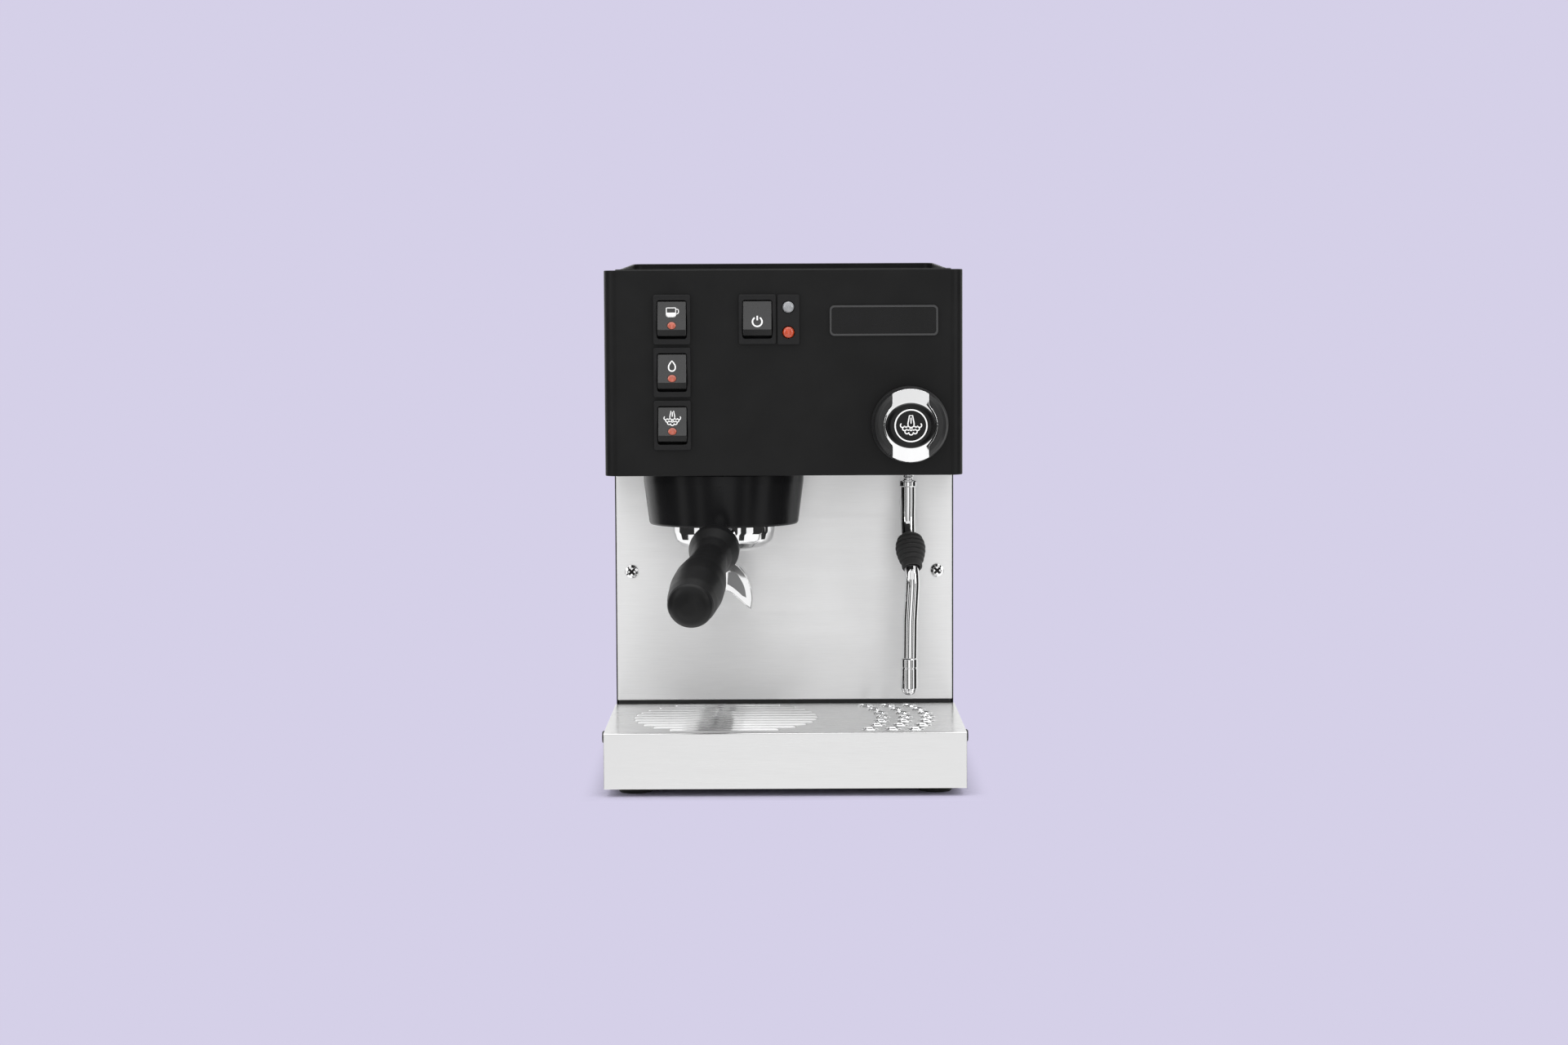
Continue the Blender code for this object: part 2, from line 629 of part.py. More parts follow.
def band_outline():
    """Outline of the knob's bright band: narrow ends that swell round the cap."""
    outline = []
    for index in range(28):
        angle = math.tau * index / 28
        height = BAND_HALF_TALL * math.sin(angle)
        swell = math.cos(math.sin(angle) * math.pi / 2.0) ** 2
        limit = BAND_END_HALF + (BAND_MIDDLE_HALF - BAND_END_HALF) * swell
        edge = math.sqrt(max(BAND_HALF_TALL ** 2 - height ** 2, 0.0))
        outline.append((KNOB_X + math.copysign(min(limit, edge), math.cos(angle)),
                        KNOB_Z + height))
    return outline


def steam_valve():
    """The steam valve's body, its outlet down to the wand, and its feed pipe."""
    body = box("steam_valve_body", (KNOB_X - 11.0, KNOB_X + 11.0),
               (HEAD_FRONT + 22.0, HEAD_FRONT + 62.0), (KNOB_Z - 12.0, KNOB_Z + 12.0), "brass")
    outlet = rod("valve_outlet", (WAND_X, WAND_Y, KNOB_Z - 6.0),
                 (WAND_X, WAND_Y, BALL_Z + BALL_RADIUS + 0.8), 5.5, segments=24)
    shoulder = rod("valve_shoulder", (WAND_X, HEAD_FRONT + 55.0, KNOB_Z - 4.0),
                   (WAND_X, WAND_Y + 7.0, KNOB_Z - 4.0), 7.0, segments=20)
    join(body, shoulder, outlet)
    cut(body, rod("stem_bore", (KNOB_X, HEAD_FRONT + 15.0, KNOB_Z),
                  (KNOB_X, HEAD_FRONT + 36.0, KNOB_Z), 3.5, segments=20))
    top = KNOB_Z + 12.0 + GAP
    tube("steam_pipe",
         [(GROUP_X + 18.0, BOILER_Y, BOILER_TOP + GAP),
          (GROUP_X + 18.0, BOILER_Y, BOILER_TOP + 8.0),
          (GROUP_X + 34.0, BOILER_Y, BOILER_TOP + 14.0),
          (KNOB_X - 14.0, GROUP_Y - 8.0, 288.0),
          (KNOB_X, HEAD_FRONT + 44.0, 268.0), (KNOB_X, HEAD_FRONT + 44.0, top)],
         3.0, "copper", resolution=1, smooth=3)


def bend(before, corner, after, radius):
    """Points that round the corner of a path with an arc."""
    back = (before - corner).normalized()
    ahead = (after - corner).normalized()
    half = back.angle(ahead) / 2.0
    reach = radius / math.tan(half)
    middle = corner + (back + ahead).normalized() * (radius / math.sin(half))
    first = corner + back * reach - middle
    last = corner + ahead * reach - middle
    sweep = math.pi - 2.0 * half
    return [tuple(middle + (first * math.sin((1.0 - share) * sweep)
                            + last * math.sin(share * sweep)) / math.sin(sweep))
            for share in (0.0, 0.25, 0.5, 0.75, 1.0)]


def steam_wand():
    """The wand: a nut that holds its ball, a seat ring, the tube, grip and nozzle."""
    low = BALL_Z - 3.4
    nut = [(8.9, HEAD_LOW - GAP), (8.9, low), (6.4, low), (7.9, BALL_Z - 1.6),
           (7.9, HEAD_LOW - GAP)]
    turned("wand_nut", nut, "chrome", at=(WAND_X, WAND_Y, 0.0), steps=24, ring=True)
    inner = BALL_RADIUS + GAP
    curve = [(inner * math.cos(a), BALL_Z + inner * math.sin(a))
             for a in (math.radians(angle) for angle in (-9.0, 6.0, 21.0, 36.0))]
    seat = [(7.6, BALL_Z + 4.4), (7.6, BALL_Z - 1.2), *curve]
    ring = turned("wand_seat_ring", seat, "white_plastic", at=(WAND_X, WAND_Y, 0.0),
                  steps=24, ring=True)

    top = Vector((WAND_X, WAND_Y, COLLAR_Z[0] + 1.0))
    path = [tuple(top), *bend(top, UPPER_BEND, LOWER_BEND, 28.0),
            *bend(UPPER_BEND, LOWER_BEND, WAND_TIP, 20.0),
            (WAND_TIP.x + 0.5, WAND_TIP.y, NOZZLE_TOP + GAP)]
    wand = tube("wand_tube", path, WAND_RADIUS, "chrome", resolution=1, smooth=3)
    neck = rod("wand_neck", (WAND_X, WAND_Y, BALL_Z - 3.0), (WAND_X, WAND_Y, COLLAR_Z[1] - 1.0),
               NECK_RADIUS, segments=20)
    collar = rod("wand_collar", (WAND_X, WAND_Y, COLLAR_Z[1]), (WAND_X, WAND_Y, COLLAR_Z[0]),
                 COLLAR_RADIUS, segments=24)
    angles = [math.radians(90.0 - 22.5 * index) for index in range(9)]
    ball = turned("wand_ball", [(BALL_RADIUS * math.cos(a) if abs(math.cos(a)) > 0.01 else 0.0,
                                 BALL_RADIUS * math.sin(a)) for a in angles],
                  at=(WAND_X, WAND_Y, BALL_Z), steps=24)
    join(wand, collar, neck, ball)

    up = (UPPER_BEND - LOWER_BEND).normalized()
    grip_top = (UPPER_BEND + LOWER_BEND) / 2.0 + up * (GRIP_LENGTH / 2.0)
    bore = WAND_RADIUS + GAP + 0.25
    outer = [(6.0, 0.0), (7.9, -2.5), (9.1, -6.0), (9.5, -9.5), (9.1, -13.5), (8.0, -18.0),
             (6.9, -21.5), (6.7, -GRIP_LENGTH)]
    grip = turned("wand_grip", outer + [(bore, -GRIP_LENGTH), (bore, 0.0)], "rubber",
                  at=tuple(grip_top), along=tuple(up), steps=20, ring=True)
    tip = [(0.0, NOZZLE_TOP), (5.2, NOZZLE_TOP), (5.5, NOZZLE_TOP - 1.0), (5.5, WAND_TIP.z + 3.0),
           (2.6, WAND_TIP.z), (0.0, WAND_TIP.z)]
    nozzle = turned("wand_nozzle", tip, "chrome", at=(WAND_TIP.x, WAND_TIP.y, 0.0), steps=20)
    swivel = pivot("wand_swivel_axis", (WAND_X, WAND_Y, BALL_Z), ring)
    tilt = pivot("wand_tilt_axis", (WAND_X, WAND_Y, BALL_Z), wand, grip, nozzle)
    tilt.parent = swivel
    tilt.matrix_parent_inverse = swivel.matrix_world.inverted()


def brew_group():
    """The brew group: head with its bayonet, gasket, shower screen and black bell."""
    neck_top = HEAD_LOW + 8.0
    head = [(0.0, neck_top), (27.0, neck_top), (27.0, 209.0), (GROUP_RADIUS, 209.0),
            (GROUP_RADIUS, 172.6), (35.2, 172.6),
            (35.2, 178.6), (38.8, 178.6), (38.8, 185.6), (34.5, 185.6), (34.5, 194.0),
            (26.8, 194.0), (26.8, 191.0), (0.0, 191.0)]
    group = turned("group_head", head, "chrome", at=(GROUP_X, GROUP_Y, 0.0), steps=36)
    turn = UNLOCK_ANGLE - math.degrees(HANDLE_YAW)
    for side in (0.0, 180.0):
        cut(group, plate("bayonet_gate", [sector(30.0, 38.6, turn + side, 22.0)],
                         (170.0, 180.0), "level"))
    cut(group, rod("water_hole", (GROUP_X, GROUP_Y, 185.0), (GROUP_X, GROUP_Y, 215.0), 4.0,
                   segments=16))
    turned("group_gasket", [(34.2, 193.7), (34.2, 186.6), (27.4, 186.6), (27.4, 193.7)],
           "rubber", at=(GROUP_X, GROUP_Y, 0.0), ring=True)
    turned("shower_screen",
           [(0.0, 190.6), (26.4, 190.6), (27.0, 190.0), (27.0, 188.4), (25.6, 187.4), (0.0, 187.4)],
           "stainless", at=(GROUP_X, GROUP_Y, 0.0), steps=24)
    top = HEAD_LOW - GAP
    bell = [(BELL_RADIUS, top), (BELL_RADIUS, top - 5.0), (BELL_LOW_RADIUS + 0.6, BELL_LOW + 3.0),
            (BELL_LOW_RADIUS, BELL_LOW), (BELL_LOW_RADIUS - 2.0, BELL_LOW),
            (BELL_RADIUS - 2.6, top - 5.0), (BELL_RADIUS - 2.6, top - 1.6),
            (GROUP_RADIUS + 0.6, top - 1.6), (GROUP_RADIUS + 0.6, top)]
    turned("group_bell", bell, "black_plastic", at=(GROUP_X, GROUP_Y, 0.0), steps=36, ring=True)


def twin_spout():
    """The twin spout: two curved horns under a neck, bored from the top to each tip."""
    outer = [(7.0, PORTA_LOW - GAP), (7.0, 145.0), (9.5, 143.0), (13.9, 138.0), (17.0, 130.5),
             (18.9, 121.0), (19.1, 116.5), (18.4, SPOUT_TIP)]
    inner = [(15.8, 115.0), (12.5, 118.4), (8.4, 122.0), (4.4, 125.2), (0.0, 126.6)]
    right = outer + inner
    left = [(-x, z) for x, z in right[-2::-1]]
    pieces = [plate("portafilter_spout", [right + left], (-6.4, 6.4), "front", "chrome"),
              rod("spout_well", (0.0, 0.0, PORTA_LOW + 3.0), (0.0, 0.0, 137.0), 4.6, segments=16)]
    for side in (-1.0, 1.0):
        pieces.append(rod("spout_gallery", (0.0, 0.0, 140.0), (side * 16.4, 0.0, 120.5), 2.2,
                          segments=12))
        pieces.append(rod("spout_bore", (side * 16.9, 0.0, 121.0), (side * 16.9, 0.0, 108.0), 1.5,
                          segments=12))
    for piece in pieces:
        piece.location = Vector((GROUP_X, GROUP_Y, 0.0)) * MM
        piece.rotation_euler.z = -HANDLE_YAW
    cut(*pieces)
    return pieces[0]


def portafilter():
    """The portafilter: body with lugs and arm, basket, twin spout, handle and end cap."""
    at = (GROUP_X, GROUP_Y, 0.0)
    yaw_x = -math.sin(HANDLE_YAW)
    yaw_y = -math.cos(HANDLE_YAW)

    def along_handle(reach, height):
        return (GROUP_X + yaw_x * reach, GROUP_Y + yaw_y * reach, height)

    radius = PORTA_RADIUS
    bowl = [(radius, PORTA_TOP), (radius, 166.0), (radius - 1.6, 160.5), (radius - 6.0, 156.3),
            (radius - 12.0, 153.6), (radius - 20.0, PORTA_LOW), (5.0, PORTA_LOW),
            (5.0, 156.0), (24.0, 158.5), (30.4, 163.0), (30.4, PORTA_TOP)]
    body = turned("portafilter_body", bowl, "chrome", at=at, steps=32, ring=True)
    for side in (0.0, 180.0):
        lug = sector(radius - 2.0, LUG_RADIUS, side - math.degrees(HANDLE_YAW), 17.0)
        join(body, plate("lug", [lug], (179.6, 183.8), "level"))
    drop = math.sin(HANDLE_DROOP)
    out = math.cos(HANDLE_DROOP)
    along = (yaw_x * out, yaw_y * out, -drop)
    collar = [along_handle(FLANGE_REACH - back * out, FLANGE_Z + back * drop)
              for back in (7.0, 0.3)]
    join(body, rod("arm", along_handle(32.0, ARM_Z), along_handle(FLANGE_REACH - 4.0, ARM_Z - 1.0),
                   7.0, end_radius=7.4, segments=20),
         rod("arm_collar", *collar, 8.6, segments=20))

    inside = [(0.0, 166.5), (28.6, 166.5), (28.9, PORTA_TOP + 1.7)]
    outside = [(33.2, PORTA_TOP + 1.7), (33.2, PORTA_TOP + GAP), (29.9, PORTA_TOP + GAP),
               (29.6, 165.5), (0.0, 165.5)]
    basket = turned("filter_basket", inside + outside, "stainless", at=at)

    spout = twin_spout()
    grip = [(0.0, HANDLE_LENGTH), (14.4, HANDLE_LENGTH), (16.2, HANDLE_LENGTH - 14.0),
            (16.8, HANDLE_LENGTH - 28.0), (16.2, HANDLE_LENGTH - 42.0),
            (14.2, HANDLE_LENGTH - 60.0), (12.0, 36.0), (11.6, 27.0), (13.2, 19.0), (15.4, 12.5),
            (15.9, 7.0), (15.4, 2.5), (13.6, 0.0), (0.0, 0.0)]
    handle = turned("portafilter_handle", grip, "black_plastic",
                    at=along_handle(FLANGE_REACH, FLANGE_Z), along=along, steps=24)
    reach = FLANGE_REACH + (HANDLE_LENGTH + GAP) * out
    end = [(0.0, CAP_LENGTH), (5.6, CAP_LENGTH - 0.4), (10.6, CAP_LENGTH - 2.2),
           (13.2, CAP_LENGTH - 4.8), (14.3, 0.0), (0.0, 0.0)]
    cap = turned("handle_cap", end, "black_plastic",
                 at=along_handle(reach, FLANGE_Z - (HANDLE_LENGTH + GAP) * drop),
                 along=along, steps=24)
    pivot("portafilter_axis", (GROUP_X, GROUP_Y, PORTA_TOP), body, basket, spout, handle, cap)


def water_works():
    """Boiler, thermostat, pump, valve, hose and the rear inlet, hidden in the casing."""
    low = HEAD_LOW + 8.0 + GAP
    top = BOILER_TOP
    wall = [(0.0, top - 8.0), (35.0, top - 8.0), (35.0, low + 8.0), (0.0, low + 8.0)]
    shell = [(0.0, top), (35.0, top), (40.0, top - 5.0), (40.0, 262.0), (44.0, 262.0),
             (44.0, 252.0), (40.0, 252.0), (40.0, low), (0.0, low)]
    boiler = turned("boiler", shell, "brass", at=(GROUP_X, BOILER_Y, 0.0))
    cut(boiler, turned("boiler_inside", wall, at=(GROUP_X, BOILER_Y, 0.0)),
        rod("boiler_outlet", (GROUP_X, GROUP_Y, low - 5.0), (GROUP_X, GROUP_Y, low + 12.0), 4.0,
            segments=16))
    turned("boiler_thermostat", [(0.0, 9.0), (6.0, 9.0), (6.0, 4.0), (9.0, 4.0), (9.0, 0.0),
                                 (0.0, 0.0)],
           "zinc_steel", at=(GROUP_X - 15.0, BOILER_Y, top + GAP), steps=24)

    coil = box("solenoid_valve", (-112.0, -91.0), (GROUP_Y + 6.0, GROUP_Y + 32.0), (236.0, 268.0),
               "black_plastic")
    join(coil, rod("valve_barrel", (-101.0, GROUP_Y + 19.0, low), (-101.0, GROUP_Y + 19.0, 276.0),
                   7.0, segments=20))

    pump = box("water_pump", (PUMP_X - 18.0, PUMP_X + 18.0), (PUMP_Y - 16.0, PUMP_Y + 16.0),
               (FLOOR_TOP + GAP, PUMP_Z + 20.0), "zinc_steel")
    join(pump, rod("pump_barrel", (PUMP_X, PUMP_Y - 34.0, PUMP_Z), (PUMP_X, PUMP_Y + 38.0, PUMP_Z),
                   12.0, segments=24),
         rod("pump_nipple", (PUMP_X, PUMP_Y + 30.0, PUMP_Z), (PUMP_X, PUMP_Y + 50.0, PUMP_Z),
             3.5, segments=16))
    outlet = ((TANK_X[0] + TANK_X[1]) / 2.0, (TANK_Y[0] + TANK_Y[1]) / 2.0)
    tube("water_hose",
         [(*outlet, SEAT_LOW - 8.0 - GAP), (*outlet, 32.0), (outlet[0] - 22.0, outlet[1] + 8.0, 20.0),
          (PUMP_X + 40.0, PUMP_Y + 62.0, 24.0), (PUMP_X + 12.0, PUMP_Y + 70.0, PUMP_Z - 4.0),
          (PUMP_X, PUMP_Y + 62.0, PUMP_Z), (PUMP_X, PUMP_Y + 50.0 + GAP, PUMP_Z)],
         4.0, "rubber", resolution=1, smooth=3)

    inlet = box("power_inlet", (INLET_X - 14.0, INLET_X + 14.0), (REAR - 24.0, REAR - GAP),
                (INLET_Z - 10.0, INLET_Z + 10.0), "black_plastic")
    cut(inlet, box("inlet_socket", (INLET_X - 11.5, INLET_X + 11.5), (REAR - 17.0, REAR + 5.0),
                   (INLET_Z - 7.5, INLET_Z + 7.5)))


def drip_tray():
    """The drip tray: a deep pan, and the slotted cover with its front apron."""
    pan_z = (FLOOR_TOP + GAP, COVER_TOP - SHEET - GAP)
    pan = box("drip_pan", (-PAN_HALF, PAN_HALF), (TRAY_FRONT + SHEET + GAP, PAN_BACK), pan_z,
              "stainless")
    cut(pan, box("pan_inside", (-PAN_HALF + 1.5, PAN_HALF - 1.5),
                 (TRAY_FRONT + SHEET + GAP + 1.5, PAN_BACK - 1.5),
                 (pan_z[0] + 1.5, pan_z[1] + 10.0)))

    openings = []
    for index in range(SLOT_COUNT):
        shift = (index - (SLOT_COUNT - 1) / 2.0) * SLOT_PITCH
        half = SLOT_HALF_SPAN * math.sqrt(1.0 - (shift / SLOT_HALF_REACH) ** 2)
        y = SLOT_CENTRE[1] + shift
        openings.append(rounded((SLOT_CENTRE[0] - half, SLOT_CENTRE[0] + half),
                                (y - 1.6, y + 1.6), 1.55, 2))
    for row in range(HOLE_ROWS):
        step = row - (HOLE_ROWS - 1) / 2.0
        bow = HOLE_BOW * (1.0 - (step / 3.0) ** 2)
        for x in HOLE_COLUMNS:
            openings.append(circle((x + bow, HOLE_MIDDLE + step * HOLE_PITCH), 4.2, 12))
    cover = plate("drip_cover",
                  [square((-COVER_HALF, COVER_HALF), (TRAY_FRONT + 0.4, SPLASH_FRONT - 2.0)),
                   *openings],
                  (COVER_TOP - SHEET, COVER_TOP), "level", "stainless")
    apron = box("apron", (-COVER_HALF, COVER_HALF), (TRAY_FRONT, TRAY_FRONT + SHEET),
                (APRON_LOW, COVER_TOP - 0.4))
    boolean(cover, apron, "UNION", "MANIFOLD")


def water_tank():
    """The water tank, its loose lid, and the seat that its outlet plugs into."""
    middle = ((TANK_X[0] + TANK_X[1]) / 2.0, (TANK_Y[0] + TANK_Y[1]) / 2.0)
    tank = plate("water_tank", [rounded(TANK_X, TANK_Y, 8.0)], (TANK_LOW, TANK_TOP), "level",
                 "smoked_tank")
    inside = plate("tank_inside",
                   [rounded((TANK_X[0] + TANK_WALL, TANK_X[1] - TANK_WALL),
                            (TANK_Y[0] + TANK_WALL, TANK_Y[1] - TANK_WALL), 5.5)],
                   (TANK_LOW + TANK_WALL, TANK_TOP + 10.0), "level")
    cut(tank, inside)
    join(tank, rod("tank_outlet", (*middle, TANK_LOW - 8.0), (*middle, TANK_LOW + 1.5), 6.0,
                   segments=20))
    cut(tank, rod("tank_outlet_bore", (*middle, TANK_LOW - 12.0), (*middle, TANK_LOW + 6.0), 3.0,
                  segments=16))

    lid = plate("tank_lid",
                [rounded((TANK_X[0] - 6.0, TANK_X[1] + 2.4),
                         (TANK_Y[0] - 8.0, TANK_Y[1] + 1.5), 6.0)],
                (CUP_FLOOR_LOW + SHEET + GAP, CUP_FLOOR_LOW + SHEET + GAP + 2.0), "level",
                "black_plastic")
    join(lid, box("lid_tab", (middle[0] - 18.0, middle[0] + 18.0), (TANK_Y[0], TANK_Y[0] + 4.0),
                  (CUP_FLOOR_LOW + SHEET + 1.0, CUP_FLOOR_LOW + SHEET + 9.0)))

    seat = box("tank_seat", TANK_X, TANK_Y, (SEAT_LOW, TANK_LOW - GAP), "white_plastic")
    for x in (TANK_X[0] + 1.0, TANK_X[1] - 9.0):
        for y in (TANK_Y[0] + 1.0, TANK_Y[1] - 9.0):
            join(seat, box("seat_leg", (x, x + 8.0), (y, y + 8.0),
                           (FLOOR_TOP + GAP, SEAT_LOW + 2.0)))
    join(seat, rod("seat_nipple", (*middle, SEAT_LOW - 8.0), (*middle, SEAT_LOW + 1.0), 4.0,
                   segments=16))
    cut(seat, rod("seat_socket", (*middle, SEAT_LOW + 6.5), (*middle, TANK_LOW + 5.0), 6.5,
                  segments=20),
        rod("seat_bore", (*middle, SEAT_LOW - 12.0), (*middle, TANK_LOW), 2.0, segments=12))


def build():
    """Make every piece of the machine."""
    casing_frame()
    casing_panels()
    head_front()
    cup_tray()
    feet_and_screws()
    switches()
    lamps_and_badge()
    steam_knob()
    steam_valve()
    steam_wand()
    brew_group()
    portafilter()
    water_works()
    drip_tray()
    water_tank()


for leftover in list(bpy.data.objects):
    bpy.data.objects.remove(leftover, do_unlink=True)
PARTS = collection("espresso_machine")
TOOLS = collection("cutting_tools")
build()
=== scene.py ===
"""Looks of the espresso machine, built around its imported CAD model."""

import json
import math

import bmesh
import bpy
from mathutils import Matrix, Vector


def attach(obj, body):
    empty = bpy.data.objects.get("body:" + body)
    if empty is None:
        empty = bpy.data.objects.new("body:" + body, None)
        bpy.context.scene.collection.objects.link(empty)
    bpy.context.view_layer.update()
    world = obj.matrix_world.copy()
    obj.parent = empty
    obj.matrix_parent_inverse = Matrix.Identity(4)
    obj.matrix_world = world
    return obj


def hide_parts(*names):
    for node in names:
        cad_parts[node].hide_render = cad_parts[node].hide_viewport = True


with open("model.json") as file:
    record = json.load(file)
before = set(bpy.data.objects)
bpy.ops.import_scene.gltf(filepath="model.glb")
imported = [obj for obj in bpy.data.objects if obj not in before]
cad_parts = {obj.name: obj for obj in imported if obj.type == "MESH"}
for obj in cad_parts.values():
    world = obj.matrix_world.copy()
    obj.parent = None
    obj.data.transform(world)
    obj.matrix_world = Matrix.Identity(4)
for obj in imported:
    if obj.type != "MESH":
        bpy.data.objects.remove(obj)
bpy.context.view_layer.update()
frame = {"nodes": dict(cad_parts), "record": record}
NODES = frame["nodes"]
SLOT_OF = {part["node"]: part["material_slot"] for part in frame["record"]["subparts"]}

MM = 0.001
GAP = 0.3
SHEET = 1.2
WELD = 0.000002
CAD_EDGE_ANGLE = 32.0
OPEN_TURN = 40.0


# ---------------------------------------------------------------- materials

class Shader:
    """A node material round one Principled BSDF, with short calls for its textures."""

    def __init__(self, name, color, metallic=0.0, roughness=0.5, **sockets):
        self.material = bpy.data.materials.new(name)
        self.material.use_nodes = True
        self.nodes = self.material.node_tree.nodes
        self.links = self.material.node_tree.links
        self.bsdf = self.nodes["Principled BSDF"]
        self.set("Base Color", (*color, 1.0))
        self.set("Metallic", metallic)
        self.set("Roughness", roughness)
        for socket, value in sockets.items():
            self.set(socket.replace("_", " "), value)
        self.place = self.nodes.new("ShaderNodeTexCoord").outputs["Object"]
        self.height = None

    def set(self, socket, value):
        """Give a socket of the BSDF a plain value."""
        self.bsdf.inputs[socket].default_value = value

    def noise(self, scale, stretch=(1.0, 1.0, 1.0), detail=2.0, rough=0.5, shift=0.0):
        """Noise with this many cells a metre, squeezed by stretch."""
        mapping = self.nodes.new("ShaderNodeMapping")
        mapping.inputs["Scale"].default_value = stretch
        mapping.inputs["Location"].default_value = (shift, shift * 0.7, shift * 1.3)
        self.links.new(self.place, mapping.inputs["Vector"])
        texture = self.nodes.new("ShaderNodeTexNoise")
        texture.inputs["Scale"].default_value = scale
        texture.inputs["Detail"].default_value = detail
        texture.inputs["Roughness"].default_value = rough
        self.links.new(mapping.outputs["Vector"], texture.inputs["Vector"])
        return texture.outputs["Fac"]

    def cells(self, scale):
        """Distance to the nearest point of a Voronoi pattern."""
        texture = self.nodes.new("ShaderNodeTexVoronoi")
        texture.inputs["Scale"].default_value = scale
        self.links.new(self.place, texture.inputs["Vector"])
        return texture.outputs["Distance"]

    def remap(self, source, low, high, start=0.3, end=0.7):
        """Source from start to end, as numbers from low to high."""
        node = self.nodes.new("ShaderNodeMapRange")
        node.inputs["From Min"].default_value = start
        node.inputs["From Max"].default_value = end
        node.inputs["To Min"].default_value = low
        node.inputs["To Max"].default_value = high
        self.links.new(source, node.inputs["Value"])
        return node.outputs["Result"]

    def math(self, operation, first, second):
        """A sum or product of two numbers or sockets."""
        node = self.nodes.new("ShaderNodeMath")
        node.operation = operation
        for socket, value in zip(node.inputs, (first, second)):
            if isinstance(value, (int, float)):
                socket.default_value = value
            else:
                self.links.new(value, socket)
        return node.outputs["Value"]

    def mix(self, share, first, second):
        """Colour between two colours or sockets."""
        node = self.nodes.new("ShaderNodeMix")
        node.data_type = "RGBA"
        self.links.new(share, node.inputs["Factor"])
        for socket, value in ((node.inputs[6], first), (node.inputs[7], second)):
            if isinstance(value, tuple):
                socket.default_value = (*value, 1.0)
            else:
                self.links.new(value, socket)
        return node.outputs[2]

    def bump(self, source, depth, strength=1.0):
        """Raise the surface by source, which is worth depth millimetres at 1."""
        node = self.nodes.new("ShaderNodeBump")
        node.inputs["Strength"].default_value = strength
        node.inputs["Distance"].default_value = depth * MM
        self.links.new(source, node.inputs["Height"])
        if self.height is not None:
            self.links.new(self.height, node.inputs["Normal"])
        self.height = node.outputs["Normal"]
        self.links.new(self.height, self.bsdf.inputs["Normal"])

    def link(self, source, socket):
        """Feed a socket of the BSDF."""
        self.links.new(source, self.bsdf.inputs[socket])

    def stretch_across(self, along):
        """Spread highlights across a grain that runs along one axis."""
        spot = self.nodes.new("ShaderNodeNewGeometry")
        across = self.nodes.new("ShaderNodeVectorMath")
        across.operation = "CROSS_PRODUCT"
        self.links.new(spot.outputs["Normal"], across.inputs[0])
        across.inputs[1].default_value = tuple(1.0 if axis == along else 0.0 for axis in range(3))
        self.links.new(across.outputs["Vector"], self.bsdf.inputs["Tangent"])


def powder_coat(name, color, roughness):
    """Satin powder coat: a fine orange peel and faintly uneven gloss."""
    shader = Shader(name, color, roughness=roughness, Specular_IOR_Level=0.15)
    cloud = shader.noise(35.0, detail=3.0)
    shader.link(shader.remap(cloud, roughness - 0.03, roughness + 0.04), "Roughness")
    lighter = tuple(channel * 1.5 + 0.002 for channel in color)
    shader.link(shader.mix(shader.remap(cloud, 0.0, 0.5), color, lighter), "Base Color")
    shader.bump(shader.noise(1500.0, detail=2.0), 0.012, 0.6)
    shader.bump(shader.noise(260.0, detail=1.0), 0.02, 0.25)
    return shader.material


def moulded(name, color, roughness, grain=3000.0, depth=0.03, coat=0.0, shine=0.3):
    """Moulded plastic with a spark-eroded grain."""
    shader = Shader(name, color, roughness=roughness, Coat_Weight=coat, Coat_Roughness=0.12,
                    Specular_IOR_Level=shine)
    speck = shader.noise(grain, detail=2.0, rough=0.6)
    lighter = tuple(channel * 1.6 + 0.003 for channel in color)
    shader.link(shader.mix(shader.remap(speck, 0.0, 0.6), color, lighter), "Base Color")
    shader.link(shader.remap(shader.noise(90.0, detail=3.0), roughness - 0.04, roughness + 0.05),
                "Roughness")
    shader.bump(speck, depth, 0.5)
    return shader.material


def brushed(name, color, roughness, along=0, depth=0.0025):
    """Brushed sheet: long fine scratches along one axis, in its colour, gloss and relief."""
    shader = Shader(name, color, metallic=1.0, roughness=roughness, Anisotropic=0.7)
    shader.stretch_across(along)
    fine = tuple(0.02 if axis == along else 1.0 for axis in range(3))
    broad = tuple(0.03 if axis == along else 1.0 for axis in range(3))
    scratch = shader.noise(2600.0, fine, detail=3.0, rough=0.65)
    band = shader.noise(170.0, broad, detail=3.0, shift=0.31)
    cloud = shader.noise(14.0, detail=2.0, shift=1.7)
    gloss = shader.math("ADD", shader.remap(scratch, -0.03, 0.035),
                        shader.remap(band, -0.015, 0.015))
    gloss = shader.math("ADD", gloss, shader.remap(cloud, roughness - 0.02, roughness + 0.02))
    shader.link(gloss, "Roughness")
    dark = tuple(channel * 0.95 for channel in color)
    light = tuple(min(channel * 1.04, 1.0) for channel in color)
    tone = shader.math("ADD", shader.remap(scratch, 0.0, 0.7), shader.remap(band, 0.0, 0.3))
    shader.link(shader.mix(tone, dark, light), "Base Color")
    shader.bump(scratch, depth, 0.5)
    return shader.material


def polished(name, color, roughness, smear=0.03):
    """Polished plating or bright metal with faint wiping marks."""
    shader = Shader(name, color, metallic=1.0, roughness=roughness)
    cloud = shader.noise(60.0, (1.0, 1.0, 0.4), detail=4.0, rough=0.6)
    shader.link(shader.remap(cloud, roughness, roughness + smear, 0.35, 0.75), "Roughness")
    dark = tuple(channel * 0.95 for channel in color)
    shader.link(shader.mix(shader.remap(cloud, 0.0, 1.0), color, dark), "Base Color")
    shader.bump(shader.noise(300.0, detail=1.0), 0.003, 0.2)
    return shader.material


